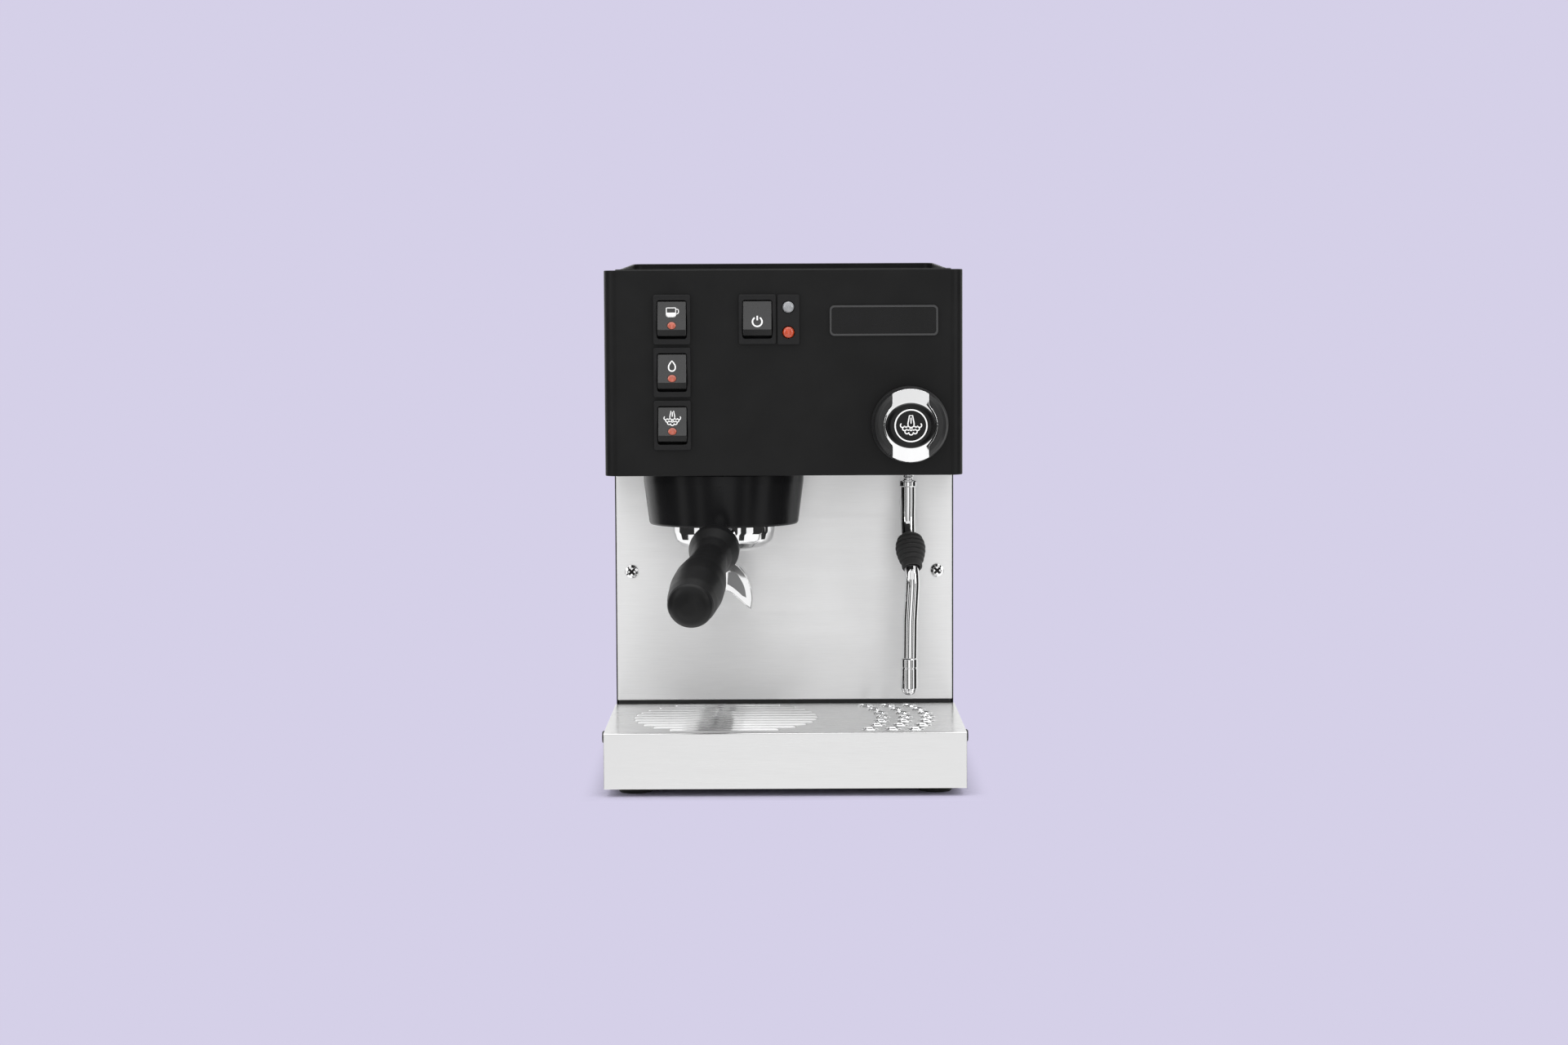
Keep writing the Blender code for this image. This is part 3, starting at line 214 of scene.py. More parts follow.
def worked(name, color, roughness, grain=700.0):
    """Cast, drawn or plated metal with a dull spangle and stains."""
    shader = Shader(name, color, metallic=1.0, roughness=roughness)
    spangle = shader.cells(grain)
    stain = shader.noise(40.0, detail=5.0, rough=0.6, shift=0.9)
    dark = tuple(channel * 0.72 for channel in color)
    tone = shader.math("ADD", shader.remap(stain, 0.0, 0.7),
                       shader.remap(spangle, 0.3, 0.0, 0.0, 0.8))
    shader.link(shader.mix(tone, color, dark), "Base Color")
    shader.link(shader.remap(stain, roughness - 0.06, roughness + 0.12), "Roughness")
    shader.bump(spangle, 0.02, 0.3)
    shader.bump(shader.noise(1500.0, detail=2.0), 0.01, 0.4)
    return shader.material


def soft_rubber(name, color, roughness):
    """Matte rubber: a fine dusty grain and a soft sheen."""
    shader = Shader(name, color, roughness=roughness, Sheen_Weight=0.15, Sheen_Roughness=0.5)
    dust = shader.noise(500.0, detail=4.0, rough=0.7)
    lighter = tuple(channel * 1.9 + 0.003 for channel in color)
    shader.link(shader.mix(shader.remap(dust, 0.0, 0.6), color, lighter), "Base Color")
    shader.link(shader.remap(shader.noise(120.0, detail=2.0), roughness - 0.05, roughness + 0.06),
                "Roughness")
    shader.bump(shader.noise(2200.0, detail=2.0), 0.015, 0.5)
    return shader.material


def lens_plastic(name, color, glow, roughness=0.12):
    """A tinted lamp lens: glossy, a little deep, with moulding swirls in its tint."""
    shader = Shader(name, color, roughness=roughness, Coat_Weight=0.8, Coat_Roughness=0.05,
                    Transmission_Weight=0.15, Emission_Strength=glow)
    swirl = shader.noise(500.0, detail=2.0)
    dark = tuple(channel * 0.6 for channel in color)
    tint = shader.mix(shader.remap(swirl, 0.0, 0.8), color, dark)
    shader.link(tint, "Base Color")
    shader.link(tint, "Emission Color")
    shader.bump(shader.cells(1400.0), 0.05, 0.35)
    return shader.material


def clear_plastic(name, color, roughness):
    """Smoked see-through plastic of the tank."""
    shader = Shader(name, color, roughness=roughness, Transmission_Weight=0.9, IOR=1.46)
    cloud = shader.noise(45.0, detail=3.0)
    shader.link(shader.remap(cloud, roughness, roughness + 0.06), "Roughness")
    dark = tuple(channel * 0.9 for channel in color)
    shader.link(shader.mix(shader.remap(cloud, 0.0, 1.0), color, dark), "Base Color")
    shader.bump(shader.noise(80.0, detail=2.0), 0.03, 0.3)
    return shader.material


FINISH = {
    "black_paint": powder_coat("black_paint", (0.0075, 0.0075, 0.0077), 0.40),
    "black_plastic": moulded("black_plastic", (0.010, 0.010, 0.0105), 0.46),
    "black_bell": powder_coat("black_bell", (0.006, 0.006, 0.0065), 0.24),
    "handle_black": moulded("handle_black", (0.005, 0.005, 0.0053), 0.40, 2400.0, 0.008,
                            shine=0.19),
    "switch_black": moulded("switch_black", (0.009, 0.009, 0.0095), 0.50, 2600.0, 0.06, shine=0.22),
    "rocker_black": moulded("rocker_black", (0.020, 0.020, 0.0205), 0.26, 3600.0, 0.006, shine=0.8),
    "knob_black": moulded("knob_black", (0.012, 0.012, 0.0125), 0.42, 3200.0, 0.008, shine=0.4),
    "cap_black": moulded("cap_black", (0.003, 0.003, 0.0032), 0.20, 3600.0, 0.003, shine=0.25),
    "rubber": soft_rubber("rubber", (0.010, 0.010, 0.010), 0.78),
    "stainless": brushed("stainless", (0.72, 0.72, 0.72), 0.32),
    "splash_steel": brushed("splash_steel", (0.90, 0.90, 0.902), 0.40),
    # one bent sheet's steel in two copies, lighter on the cover's top and darker on its apron:
    # painted light
    "cover_top_lit_steel": brushed("cover_top_lit_steel", (0.84, 0.84, 0.842), 0.26, depth=0.0010),
    "cover_apron_shaded_steel": brushed("cover_apron_shaded_steel", (0.72, 0.72, 0.722), 0.24, depth=0.0010),
    "bright_steel": polished("bright_steel", (0.70, 0.70, 0.70), 0.16, 0.08),
    "chrome": polished("chrome", (0.88, 0.88, 0.885), 0.04, 0.02),
    "cast_chrome": polished("cast_chrome", (0.34, 0.34, 0.345), 0.34),
    "brass": worked("brass", (0.60, 0.42, 0.16), 0.32),
    "copper": worked("copper", (0.66, 0.32, 0.18), 0.28),
    "zinc_steel": worked("zinc_steel", (0.50, 0.51, 0.52), 0.38),
    # lighter than the badge field, for light on the raised border: painted highlight
    "badge_border_painted_highlight": moulded("badge_border_painted_highlight", (0.03, 0.03, 0.031), 0.30, 3000.0, 0.004, shine=0.5),
    "badge_black": moulded("badge_black", (0.004, 0.004, 0.0042), 0.25, 3000.0, 0.004, shine=0.22),
    "amber_lens": lens_plastic("amber_lens", (0.60, 0.07, 0.02), 0.06),
    "rocker_lens": lens_plastic("rocker_lens", (0.56, 0.13, 0.08), 0.12),
    "clear_lens": lens_plastic("clear_lens", (0.40, 0.41, 0.43), 0.02, 0.2),
    "smoked_tank": clear_plastic("smoked_tank", (0.55, 0.58, 0.60), 0.10),
    "white_plastic": moulded("white_plastic", (0.62, 0.62, 0.60), 0.45, 1800.0, 0.02),
    "print_white": moulded("print_white", (0.78, 0.78, 0.78), 0.45, 4000.0, 0.005),
}


def refine(node):
    """Give a carried-over CAD node its material, and small rounded edges."""
    node_object = NODES[node]
    node_object.data.materials.clear()
    node_object.data.materials.append(FINISH[SLOT_OF[node]])
    weld = node_object.modifiers.new("weld", "WELD")
    weld.merge_threshold = WELD
    bevel = node_object.modifiers.new("edge", "BEVEL")
    bevel.width = 0.25 * MM
    bevel.segments = 2
    bevel.limit_method = "ANGLE"
    bevel.angle_limit = math.radians(CAD_EDGE_ANGLE)
    bevel.harden_normals = True


for node in NODES:
    refine(node)


# ---------------------------------------------------------------- mesh helpers, in millimetres

def fillet(corners, closed=True, steps=6):
    """A line through corners, each a point and an optional rounding radius after it."""
    points = []
    spots = [Vector(corner[0]) for corner in corners]
    for index, corner in enumerate(corners):
        here = spots[index]
        radius = corner[1] if len(corner) > 1 else 0.0
        at_end = not closed and index in (0, len(corners) - 1)
        if radius <= 0.0 or at_end:
            points.append(here)
            continue
        back = spots[index - 1] - here
        ahead = spots[(index + 1) % len(spots)] - here
        half = back.angle(ahead) / 2.0
        if half > math.pi / 2.0 - 0.002:
            points.append(here)
            continue
        reach = min(radius / math.tan(half), 0.498 * back.length, 0.498 * ahead.length)
        middle = here + (back.normalized() + ahead.normalized()).normalized() * (
            reach / math.cos(half))
        first = here + back.normalized() * reach - middle
        last = here + ahead.normalized() * reach - middle
        sweep = math.pi - 2.0 * half
        for step in range(steps + 1):
            share = step / steps
            points.append(middle + (first * math.sin((1.0 - share) * sweep)
                                    + last * math.sin(share * sweep)) / math.sin(sweep))
    return points


def outline(*corners, steps=6):
    """A closed flat outline from (x, y) or (x, y, radius) corners."""
    return fillet([((c[0], c[1]), c[2] if len(c) > 2 else 0.0) for c in corners], True, steps)


def panel_outline(x, y, radius, steps=6):
    """Outline of a rectangle with rounded corners."""
    return outline((x[0], y[0], radius), (x[1], y[0], radius), (x[1], y[1], radius),
                   (x[0], y[1], radius), steps=steps)


def round_outline(centre, radius, steps=32):
    """Outline of a circle."""
    return [Vector((centre[0] + radius * math.cos(math.tau * i / steps),
                    centre[1] + radius * math.sin(math.tau * i / steps)))
            for i in range(steps)]


def solid(name, shape):
    """An object from a bmesh in millimetres, its faces turned outwards."""
    bmesh.ops.recalc_face_normals(shape, faces=shape.faces)
    bmesh.ops.scale(shape, vec=(MM, MM, MM), verts=shape.verts)
    mesh = bpy.data.meshes.new(name)
    shape.to_mesh(mesh)
    shape.free()
    piece = bpy.data.objects.new(name, mesh)
    bpy.context.scene.collection.objects.link(piece)
    return piece


def band(shape, first, second, closed=True):
    """Faces between two rings of vertices, either of which may be a single one."""
    count = max(len(first), len(second))
    for index in range(count if closed else count - 1):
        after = (index + 1) % count
        if len(first) == 1:
            corners = [first[0], second[after], second[index]]
        elif len(second) == 1:
            corners = [first[index], first[after], second[0]]
        else:
            corners = [first[index], first[after], second[after], second[index]]
        shape.faces.new(corners)


def turned_to(at, along):
    """Matrix that stands local Z along a direction, at a point."""
    turn = Vector((0.0, 0.0, 1.0)).rotation_difference(Vector(along))
    return Matrix.Translation(at) @ turn.to_matrix().to_4x4()


def lathe(name, corners, at=(0.0, 0.0, 0.0), along=(0.0, 0.0, 1.0), steps=96, ring=False,
          arc_steps=5):
    """Turn a profile of (radius, height) or (radius, height, rounding) about an axis."""
    profile = fillet([((c[0], c[1]), c[2] if len(c) > 2 else 0.0) for c in corners],
                     ring, arc_steps)
    place = turned_to(at, along)
    shape = bmesh.new()
    columns = []
    for radius, height in profile:
        if radius < 0.00001:
            columns.append([shape.verts.new(place @ Vector((0.0, 0.0, height)))])
            continue
        columns.append([shape.verts.new(place @ Vector((
            radius * math.cos(math.tau * i / steps), radius * math.sin(math.tau * i / steps),
            height))) for i in range(steps)])
    pairs = list(zip(columns, columns[1:]))
    if ring:
        pairs.append((columns[-1], columns[0]))
    for first, second in pairs:
        band(shape, first, second)
    return solid(name, shape)


PLANES = {
    "level": Matrix.Identity(4),
    "front": Matrix(((1.0, 0.0, 0.0, 0.0), (0.0, 0.0, 1.0, 0.0), (0.0, 1.0, 0.0, 0.0),
                     (0.0, 0.0, 0.0, 1.0))),
    "side": Matrix(((0.0, 0.0, 1.0, 0.0), (1.0, 0.0, 0.0, 0.0), (0.0, 1.0, 0.0, 0.0),
                    (0.0, 0.0, 0.0, 1.0))),
}


def slab(name, loops, span, plane="level", edge=0.2, segments=2):
    """A flat plate: outlines given outside first, from span[0] to span[1], rounded edges."""
    curve = bpy.data.curves.new(name, "CURVE")
    curve.dimensions = "2D"
    curve.fill_mode = "BOTH"
    curve.extrude = ((span[1] - span[0]) / 2.0 - edge) * MM
    curve.bevel_depth = edge * MM
    curve.offset = -edge * MM
    curve.bevel_resolution = segments
    for loop in loops:
        spline = curve.splines.new("POLY")
        spline.points.add(len(loop) - 1)
        for point, spot in zip(spline.points, loop):
            point.co = (spot[0] * MM, spot[1] * MM, 0.0, 1.0)
        spline.use_cyclic_u = True
    holder = bpy.data.objects.new(name, curve)
    bpy.context.scene.collection.objects.link(holder)
    mesh = bpy.data.meshes.new_from_object(
        holder.evaluated_get(bpy.context.evaluated_depsgraph_get()))
    bpy.data.objects.remove(holder)
    bpy.data.curves.remove(curve)
    shape = bmesh.new()
    shape.from_mesh(mesh)
    bpy.data.meshes.remove(mesh)
    bmesh.ops.remove_doubles(shape, verts=shape.verts, dist=WELD)
    middle = Matrix.Translation((0.0, 0.0, (span[0] + span[1]) / 2.0 * MM))
    bmesh.ops.transform(shape, matrix=PLANES[plane] @ middle, verts=shape.verts)
    bmesh.ops.scale(shape, vec=(1.0 / MM,) * 3, verts=shape.verts)
    return solid(name, shape)


def loft(name, rings, loop=False):
    """A skin through rings of points, its ends capped unless it loops."""
    shape = bmesh.new()
    rows = [[shape.verts.new(point) for point in ring] for ring in rings]
    for first, second in zip(rows, rows[1:]):
        band(shape, first, second)
    if loop:
        band(shape, rows[-1], rows[0])
    else:
        for row in (rows[0], rows[-1]):
            if len(row) > 2:
                shape.faces.new(row)
    return solid(name, shape)


def frames_along(path, up=(0.0, 0.0, 1.0), loop=False):
    """Point, side and top direction at each point of a path, without needless twist."""
    found = []
    top = Vector(up)
    count = len(path)
    for index, point in enumerate(path):
        before = path[index - 1] if loop or index else path[0]
        after = path[(index + 1) % count] if loop or index < count - 1 else path[-1]
        ahead = (after - before).normalized()
        top = (top - ahead * top.dot(ahead)).normalized()
        found.append((point, ahead.cross(top), top))
    return found


def tube(name, path, radius, steps=32, up=(0.0, 1.0, 0.0)):
    """A round tube along a path; radius is a number or one for each point."""
    radii = radius if isinstance(radius, (list, tuple)) else [radius] * len(path)
    rings = [[point + side * (r * math.cos(math.tau * i / steps))
              + top * (r * math.sin(math.tau * i / steps)) for i in range(steps)]
             for (point, side, top), r in zip(frames_along(path, up), radii)]
    return loft(name, rings)


def ribbon(path, width, thickness, place, loop=False):
    """Rings of a flat stroke along a path in a plane, set in space by a matrix."""
    rings = []
    flat = [Vector((point[0], point[1], 0.0)) for point in path]
    for point, side, _ in frames_along(flat, (0.0, 0.0, 1.0), loop):
        rings.append([place @ (point + side * (sign * width / 2.0) + Vector((0.0, 0.0, h)))
                      for sign, h in ((-1.0, -thickness), (1.0, -thickness),
                                      (1.0, thickness), (-1.0, thickness))])
    return rings


def smooth(points, steps=6):
    """A soft curve through flat points, from the first to the last."""
    found = []
    padded = [points[0], *points, points[-1]]
    for before, first, second, after in zip(padded, padded[1:], padded[2:], padded[3:]):
        for index in range(steps):
            t = index / steps
            found.append(tuple(0.5 * (2.0 * b + (c - a) * t
                                      + (2.0 * a - 5.0 * b + 4.0 * c - d) * t * t
                                      + (3.0 * b - a - 3.0 * c + d) * t * t * t)
                               for a, b, c, d in zip(before, first, second, after)))
    return found + [points[-1]]


def arc_path(centre, radius, start, end, steps=16):
    """Points along an arc, angles in degrees."""
    return [(centre[0] + radius * math.cos(math.radians(start + (end - start) * i / steps)),
             centre[1] + radius * math.sin(math.radians(start + (end - start) * i / steps)))
            for i in range(steps + 1)]


def block(name, x, y, z, edge=0.3):
    """A rounded block between two corners."""
    return slab(name, [panel_outline(x, y, edge * 1.5)], z, "level", edge)


def joined(name, *pieces):
    """One object from several, which are removed."""
    shape = bmesh.new()
    for piece in pieces:
        shape.from_mesh(piece.data)
        bpy.data.objects.remove(piece)
    mesh = bpy.data.meshes.new(name)
    shape.to_mesh(mesh)
    shape.free()
    whole = bpy.data.objects.new(name, mesh)
    bpy.context.scene.collection.objects.link(whole)
    return whole


def combine(piece, tool, operation="DIFFERENCE"):
    """Boolean of two objects, kept in the first; the second is removed."""
    modifier = piece.modifiers.new("boolean", "BOOLEAN")
    modifier.operation = operation
    modifier.solver = "EXACT"
    modifier.object = tool
    mesh = bpy.data.meshes.new_from_object(
        piece.evaluated_get(bpy.context.evaluated_depsgraph_get()))
    piece.modifiers.clear()
    piece.data = mesh
    bpy.data.objects.remove(tool)
    return piece


def moved(piece, matrix):
    """Move an object's points by a matrix that is in millimetres."""
    scale = Matrix.Scale(MM, 4)
    piece.data.transform(scale @ matrix @ scale.inverted())
    return piece


def dress(piece, body, slot, finish=None, replaces=(), edge=0.0, sharp=38.0):
    """Give a new piece its material, shading, rounded edges and body, and hide the parts it
    replaces.
    """
    shape = bmesh.new()
    shape.from_mesh(piece.data)
    for face in shape.faces:
        face.smooth = True
    for line in shape.edges:
        line.smooth = len(line.link_faces) == 2 and (
            line.calc_face_angle(0.0) < math.radians(sharp))
    shape.to_mesh(piece.data)
    shape.free()
    piece.data.materials.clear()
    piece.data.materials.append(FINISH[finish or slot])
    if edge:
        bevel = piece.modifiers.new("edge", "BEVEL")
        bevel.width = edge * MM
        bevel.segments = 3
        bevel.limit_method = "ANGLE"
        bevel.angle_limit = math.radians(sharp)
    weights = piece.modifiers.new("normals", "WEIGHTED_NORMAL")
    weights.keep_sharp = True
    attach(piece, body)
    if replaces:
        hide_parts(*replaces)
    return piece


# ---------------------------------------------------------------- where things are, in millimetres

TRAY_FRONT = -93.5
HEAD_FRONT = TRAY_FRONT + 32.0
SPLASH_FRONT = TRAY_FRONT + 145.0
REAR = TRAY_FRONT + 290.0
FLOOR_LOW = 5.5
COVER_TOP = 41.5
SPLASH_LOW = 43.9
SPLASH_HALF = 116.1
SPLASH_SCREW_X = 105.7
SPLASH_SCREW_Z = 133.5
HEAD_LOW = 206.1
HEAD_TOP = 340.1
HEAD_HALF = 117.0
INNER_HALF = HEAD_HALF - SHEET - GAP
CORNER_RADIUS = 9.0
WRAP_BACK = HEAD_FRONT + 30.0
SWITCH_PLACES = {"brew": (-72.5, 308.0), "water": (-72.5, 273.7), "steam": (-72.5, 239.3),
                 "power": (-16.9, 308.0)}
LAMP_X = 3.3
LAMP_PLACES = {"ready": 315.9, "power": 299.5}
KNOB_X = 81.8
KNOB_Z = 239.4
BADGE = (30.1, 100.6, 297.0, 316.8)


# ---------------------------------------------------------------- casing

def head_shell():
    """The head's front sheet, wrapped round both corners, with a rolled top edge."""
    half = HEAD_HALF
    front = HEAD_FRONT
    path = fillet([((half, WRAP_BACK), 0.0), ((half, front), CORNER_RADIUS),
                   ((-half, front), CORNER_RADIUS), ((-half, WRAP_BACK), 0.0)],
                  closed=False, steps=20)
    section = fillet([((0.0, HEAD_LOW), 0.7), ((0.0, HEAD_TOP), 1.0),
                      ((SHEET, HEAD_TOP), 0.18), ((SHEET, HEAD_LOW), 0.3)], steps=6)
    spots = [Vector((point.x, point.y, 0.0)) for point in path]
    rings = []
    for (point, side, _), index in zip(frames_along(spots), range(len(spots))):
        inward = side if side.dot(Vector((-point.x, 80.0 - point.y, 0.0))) > 0.0 else -side
        rings.append([point + inward * spot.x + Vector((0.0, 0.0, spot.y)) for spot in section])
    shell = loft("head_shell", rings)
    openings = [panel_outline((x - 11.3, x + 11.3), (z - 15.3, z + 15.3), 1.0)
                for x, z in SWITCH_PLACES.values()]
    openings += [round_outline((LAMP_X, z), 4.3) for z in LAMP_PLACES.values()]
    openings.append(round_outline((KNOB_X, KNOB_Z), 5.0))
    for opening in openings:
        combine(shell, slab("opening", [opening], (front - 5.0, front + 5.0), "front"))
    dress(shell, "casing", "black_paint", replaces=["head_front_panel"])


def side_panels():
    """Both side sheets, and the two screws that hold each."""
    profile = outline((WRAP_BACK + GAP, HEAD_LOW + 0.2, 1.0),
                      (WRAP_BACK + GAP, HEAD_TOP - 1.6, 1.0),
                      (REAR - 1.6, HEAD_TOP - 1.6, 3.0), (REAR - 1.6, FLOOR_LOW + 2.0, 3.0),
                      (SPLASH_FRONT + 1.5, FLOOR_LOW + 2.0, 2.0),
                      (SPLASH_FRONT + 1.5, HEAD_LOW + 0.2, 0.6))
    for side, low in (("left", -HEAD_HALF), ("right", HEAD_HALF - SHEET)):
        panel = slab(side + "_side_sheet", [profile], (low, low + SHEET), "side", 0.35, 3)
        dress(panel, "casing", "black_paint", replaces=[side + "_side_panel"])
        out = -1.0 if side == "left" else 1.0
        for row, (y, z) in {"low": (REAR - 12.0, 30.0), "high": (REAR - 12.0, 318.0)}.items():
            cross_screw(f"{side}_panel_screw_{row}", (out * (HEAD_HALF + 0.02), y, z),
                        (out, 0.0, 0.0), 3.2, "black_paint", shank=0.6)


def cross_screw(name, at, along, radius, slot, shank=3.0, finish=None, replaces=()):
    """A pan-head screw with a cross recess, its head on a surface, and near-black plates in the
    recess that paint its shade.
    """
    tall = radius * 0.36
    head = lathe(name, [(0.0, tall), (radius * 0.55, tall * 0.94, 2.0),
                        (radius * 0.93, tall * 0.42, 0.7), (radius, 0.0, 0.1),
                        (radius * 0.4, 0.0), (radius * 0.4, -shank), (0.0, -shank)], steps=64)
    deep = tall * 2.4
    dark = []
    for turn in (45.0, 135.0):
        arm = block("cross", (-radius * 0.58, radius * 0.58), (-radius * 0.17, radius * 0.17),
                    (tall - deep * 0.8, tall + 1.0), edge=0.02)
        moved(arm, Matrix.Rotation(math.radians(turn), 4, "Z"))
        combine(head, arm)
        # near-black plates in the recess: painted shade
        floor = block("recess", (-radius * 0.56, radius * 0.56), (-radius * 0.16, radius * 0.16),
                      (tall - deep * 0.85, tall - deep * (0.36 if turn < 90.0 else 0.37)),
                      edge=0.02)
        dark.append(moved(floor, Matrix.Rotation(math.radians(turn), 4, "Z")))
    recess = joined(f"{name}_recess_shade", *dark)
    moved(recess, turned_to(at, along))
    dress(recess, "casing", "black_plastic", "badge_black")
    moved(head, turned_to(at, along))
    dress(head, "casing", slot, finish, replaces)


def splash_sheet():
    """The brushed column front between head and tray, and its two screws."""
    holes = [round_outline((side * SPLASH_SCREW_X, SPLASH_SCREW_Z), 2.3) for side in (-1.0, 1.0)]
    sheet = slab("splash_sheet",
                 [panel_outline((-SPLASH_HALF, SPLASH_HALF), (SPLASH_LOW, HEAD_LOW - GAP), 0.8),
                  *holes],
                 (SPLASH_FRONT, SPLASH_FRONT + SHEET), "front", 0.3, 3)
    dress(sheet, "casing", "stainless", "splash_steel", replaces=["splash_panel"])
    for side, x in (("left", -SPLASH_SCREW_X), ("right", SPLASH_SCREW_X)):
        cross_screw(f"splash_{side}_screw", (x, SPLASH_FRONT - GAP, SPLASH_SCREW_Z),
                    (0.0, -1.0, 0.0), 4.8, "zinc_steel", finish="chrome",
                    replaces=[f"splash_screw_{side}"])


def splash_gap_shade():
    """A near-black strip of the rubber finish in the gap under the foot of the splash sheet:
    painted shade.
    """
    strip = slab("splash_gap_shade", [panel_outline((-115.3, 115.3), (35.0, SPLASH_LOW - 0.15), 0.3)],
                 (SPLASH_FRONT + 0.2, SPLASH_FRONT + SHEET - 0.1), "front", 0.15)
    dress(strip, "casing", "rubber")


def rear_sheet():
    """The rear sheet with its four vents and the inlet's opening."""
    vents = [panel_outline((-70.0, 20.0), (z, z + 4.0), 1.9) for z in (250.0, 262.0, 274.0, 286.0)]
    inlet = panel_outline((-94.3, -65.7), (73.7, 94.3), 1.2)
    sheet = slab("rear_sheet",
                 [panel_outline((-INNER_HALF, INNER_HALF), (FLOOR_LOW + 2.5, HEAD_TOP - 2.0), 2.5),
                  inlet, *vents], (REAR - SHEET, REAR), "front", 0.35, 3)
    dress(sheet, "casing", "black_paint", replaces=["rear_panel"])


def cup_tray():
    """The cup tray: flange, floor with the tank's hatch, and a wall that rises to the back."""
    front = HEAD_FRONT + 6.0
    back = REAR - 4.0
    half = 110.0
    plan = panel_outline((-half + SHEET / 2.0, half - SHEET / 2.0),
                         (front + SHEET / 2.0, back - SHEET / 2.0), 9.0, steps=14)
    path = []
    for first, second in zip(plan, plan[1:] + plan[:1]):
        steps = max(1, int((second - first).length / 9.0))
        path += [Vector((*(first.lerp(second, step / steps)), 0.0)) for step in range(steps)]
    rings = []
    for point, side, _ in frames_along(path, loop=True):
        if point.y < front + 55.0:
            rise = (point.y - front) / 55.0
            top = HEAD_TOP + 0.7 + 0.6 * max(rise, 0.0)
        else:
            top = HEAD_TOP + 1.3 + 6.4 * (point.y - front - 55.0) / (back - front - 55.0)
        section = fillet([((-0.6, 331.0), 0.3), ((0.6, 331.0), 0.3), ((0.6, top), 0.55),
                          ((-0.6, top), 0.55)], steps=5)
        rings.append([point + side * spot.x + Vector((0.0, 0.0, spot.y)) for spot in section])
    wall = loft("wall", rings, loop=True)
    flange = slab("flange",
                  [panel_outline((-INNER_HALF, INNER_HALF), (front - 4.0, REAR - 1.6), 7.5),
                   panel_outline((-half + 0.3, half - 0.3), (front + 0.3, back - 0.3), 9.0, 14)],
                  (HEAD_TOP - 1.2, HEAD_TOP), "level", 0.3)
    hatch = panel_outline((-3.0, 104.0), (75.5, 184.5), 2.0)
    floor_plate = slab("floor", [panel_outline((-half + 0.5, half - 0.5), (front + 0.5, back - 0.5),
                                               8.0, 14), hatch],
                       (331.1, 332.2), "level", 0.25)
    corners = ((-102.0, -47.5), (102.0, -47.5), (102.0, 64.5), (-12.0, 64.5), (-12.0, 183.5),
               (-102.0, 183.5))
    pad = slab("pad", [fillet([(corner, 6.0) for corner in corners])], (331.8, 332.45))
    dress(joined("cup_tray_pressing", wall, flange, floor_plate, pad), "casing", "black_paint",
          replaces=["cup_tray"])


def feet():
    """Four rubber feet with a rounded rim and a groove."""
    for row, y in (("front", TRAY_FRONT + 24.0), ("rear", REAR - 24.0)):
        for side, x in (("left", -98.0), ("right", 98.0)):
            foot = lathe(f"rubber_foot_{row}_{side}",
                         [(0.0, 5.2), (12.0, 5.2, 0.4), (11.7, 3.4, 0.3), (11.2, 3.0, 0.3),
                          (11.3, 2.5, 0.3), (10.6, 0.0, 0.8), (3.2, 0.0, 0.4), (3.0, 0.8, 0.3),
                          (0.0, 0.8)], at=(x, y, 0.0), steps=48)
            dress(foot, "casing", "rubber", replaces=[f"foot_{row}_{side}"])


head_shell()
side_panels()
splash_sheet()
rear_sheet()
cup_tray()
feet()
splash_gap_shade()


# ---------------------------------------------------------------- switches, lamps, badge and knob

ROCKER_PIVOT = HEAD_FRONT + 5.0
ROCKER_REST = math.radians(-9.5)
FRONT = Matrix(((1.0, 0.0, 0.0, 0.0), (0.0, 0.0, -1.0, 0.0), (0.0, 1.0, 0.0, 0.0),
                (0.0, 0.0, 0.0, 1.0)))
PRINT = 0.05


def strokes(name, lines, place, width):
    """Printed lines of one width as thin raised ribbons; each line is (points, closed)."""
    pieces = [loft("stroke", ribbon(line, width, PRINT, place, closed), closed)
              for line, closed in lines]
    return joined(name, *pieces)


def cup_icon():
    """A cup with a handle: an outlined bowl, filled below its rim."""
    bowl = outline((-3.4, 2.9, 0.4), (2.7, 2.9, 0.4), (2.7, -2.9, 1.3), (-3.4, -2.9, 1.3))
    ear = fillet([((2.7, 2.0), 0.0), ((4.5, 2.0), 0.9), ((4.5, -0.7), 1.2), ((2.7, -1.2), 0.0)],
                 False, 6)
    return [(bowl, True), (ear, False)]


def cup_filling():
    """The filled lower part of the cup."""
    return [outline((-3.5, -0.2), (2.8, -0.2), (2.8, -3.0, 1.3), (-3.5, -3.0, 1.3))]


def drop_icon():
    """A water drop in outline."""
    low = arc_path((0.0, -1.1), 2.25, 205.0, 335.0, 16)
    right = [(2.25, -0.6), (1.9, 0.7), (1.1, 2.0), (0.0, 3.3)]
    left = [(-x, y) for x, y in right[-2::-1]]
    return [(low + right + left, True)]


def power_icon():
    """A broken ring with a bar in its gap."""
    return [(arc_path((0.0, -0.2), 3.1, 122.0, 418.0, 36), False),
            ([(0.0, 0.7), (0.0, 3.7)], False)]


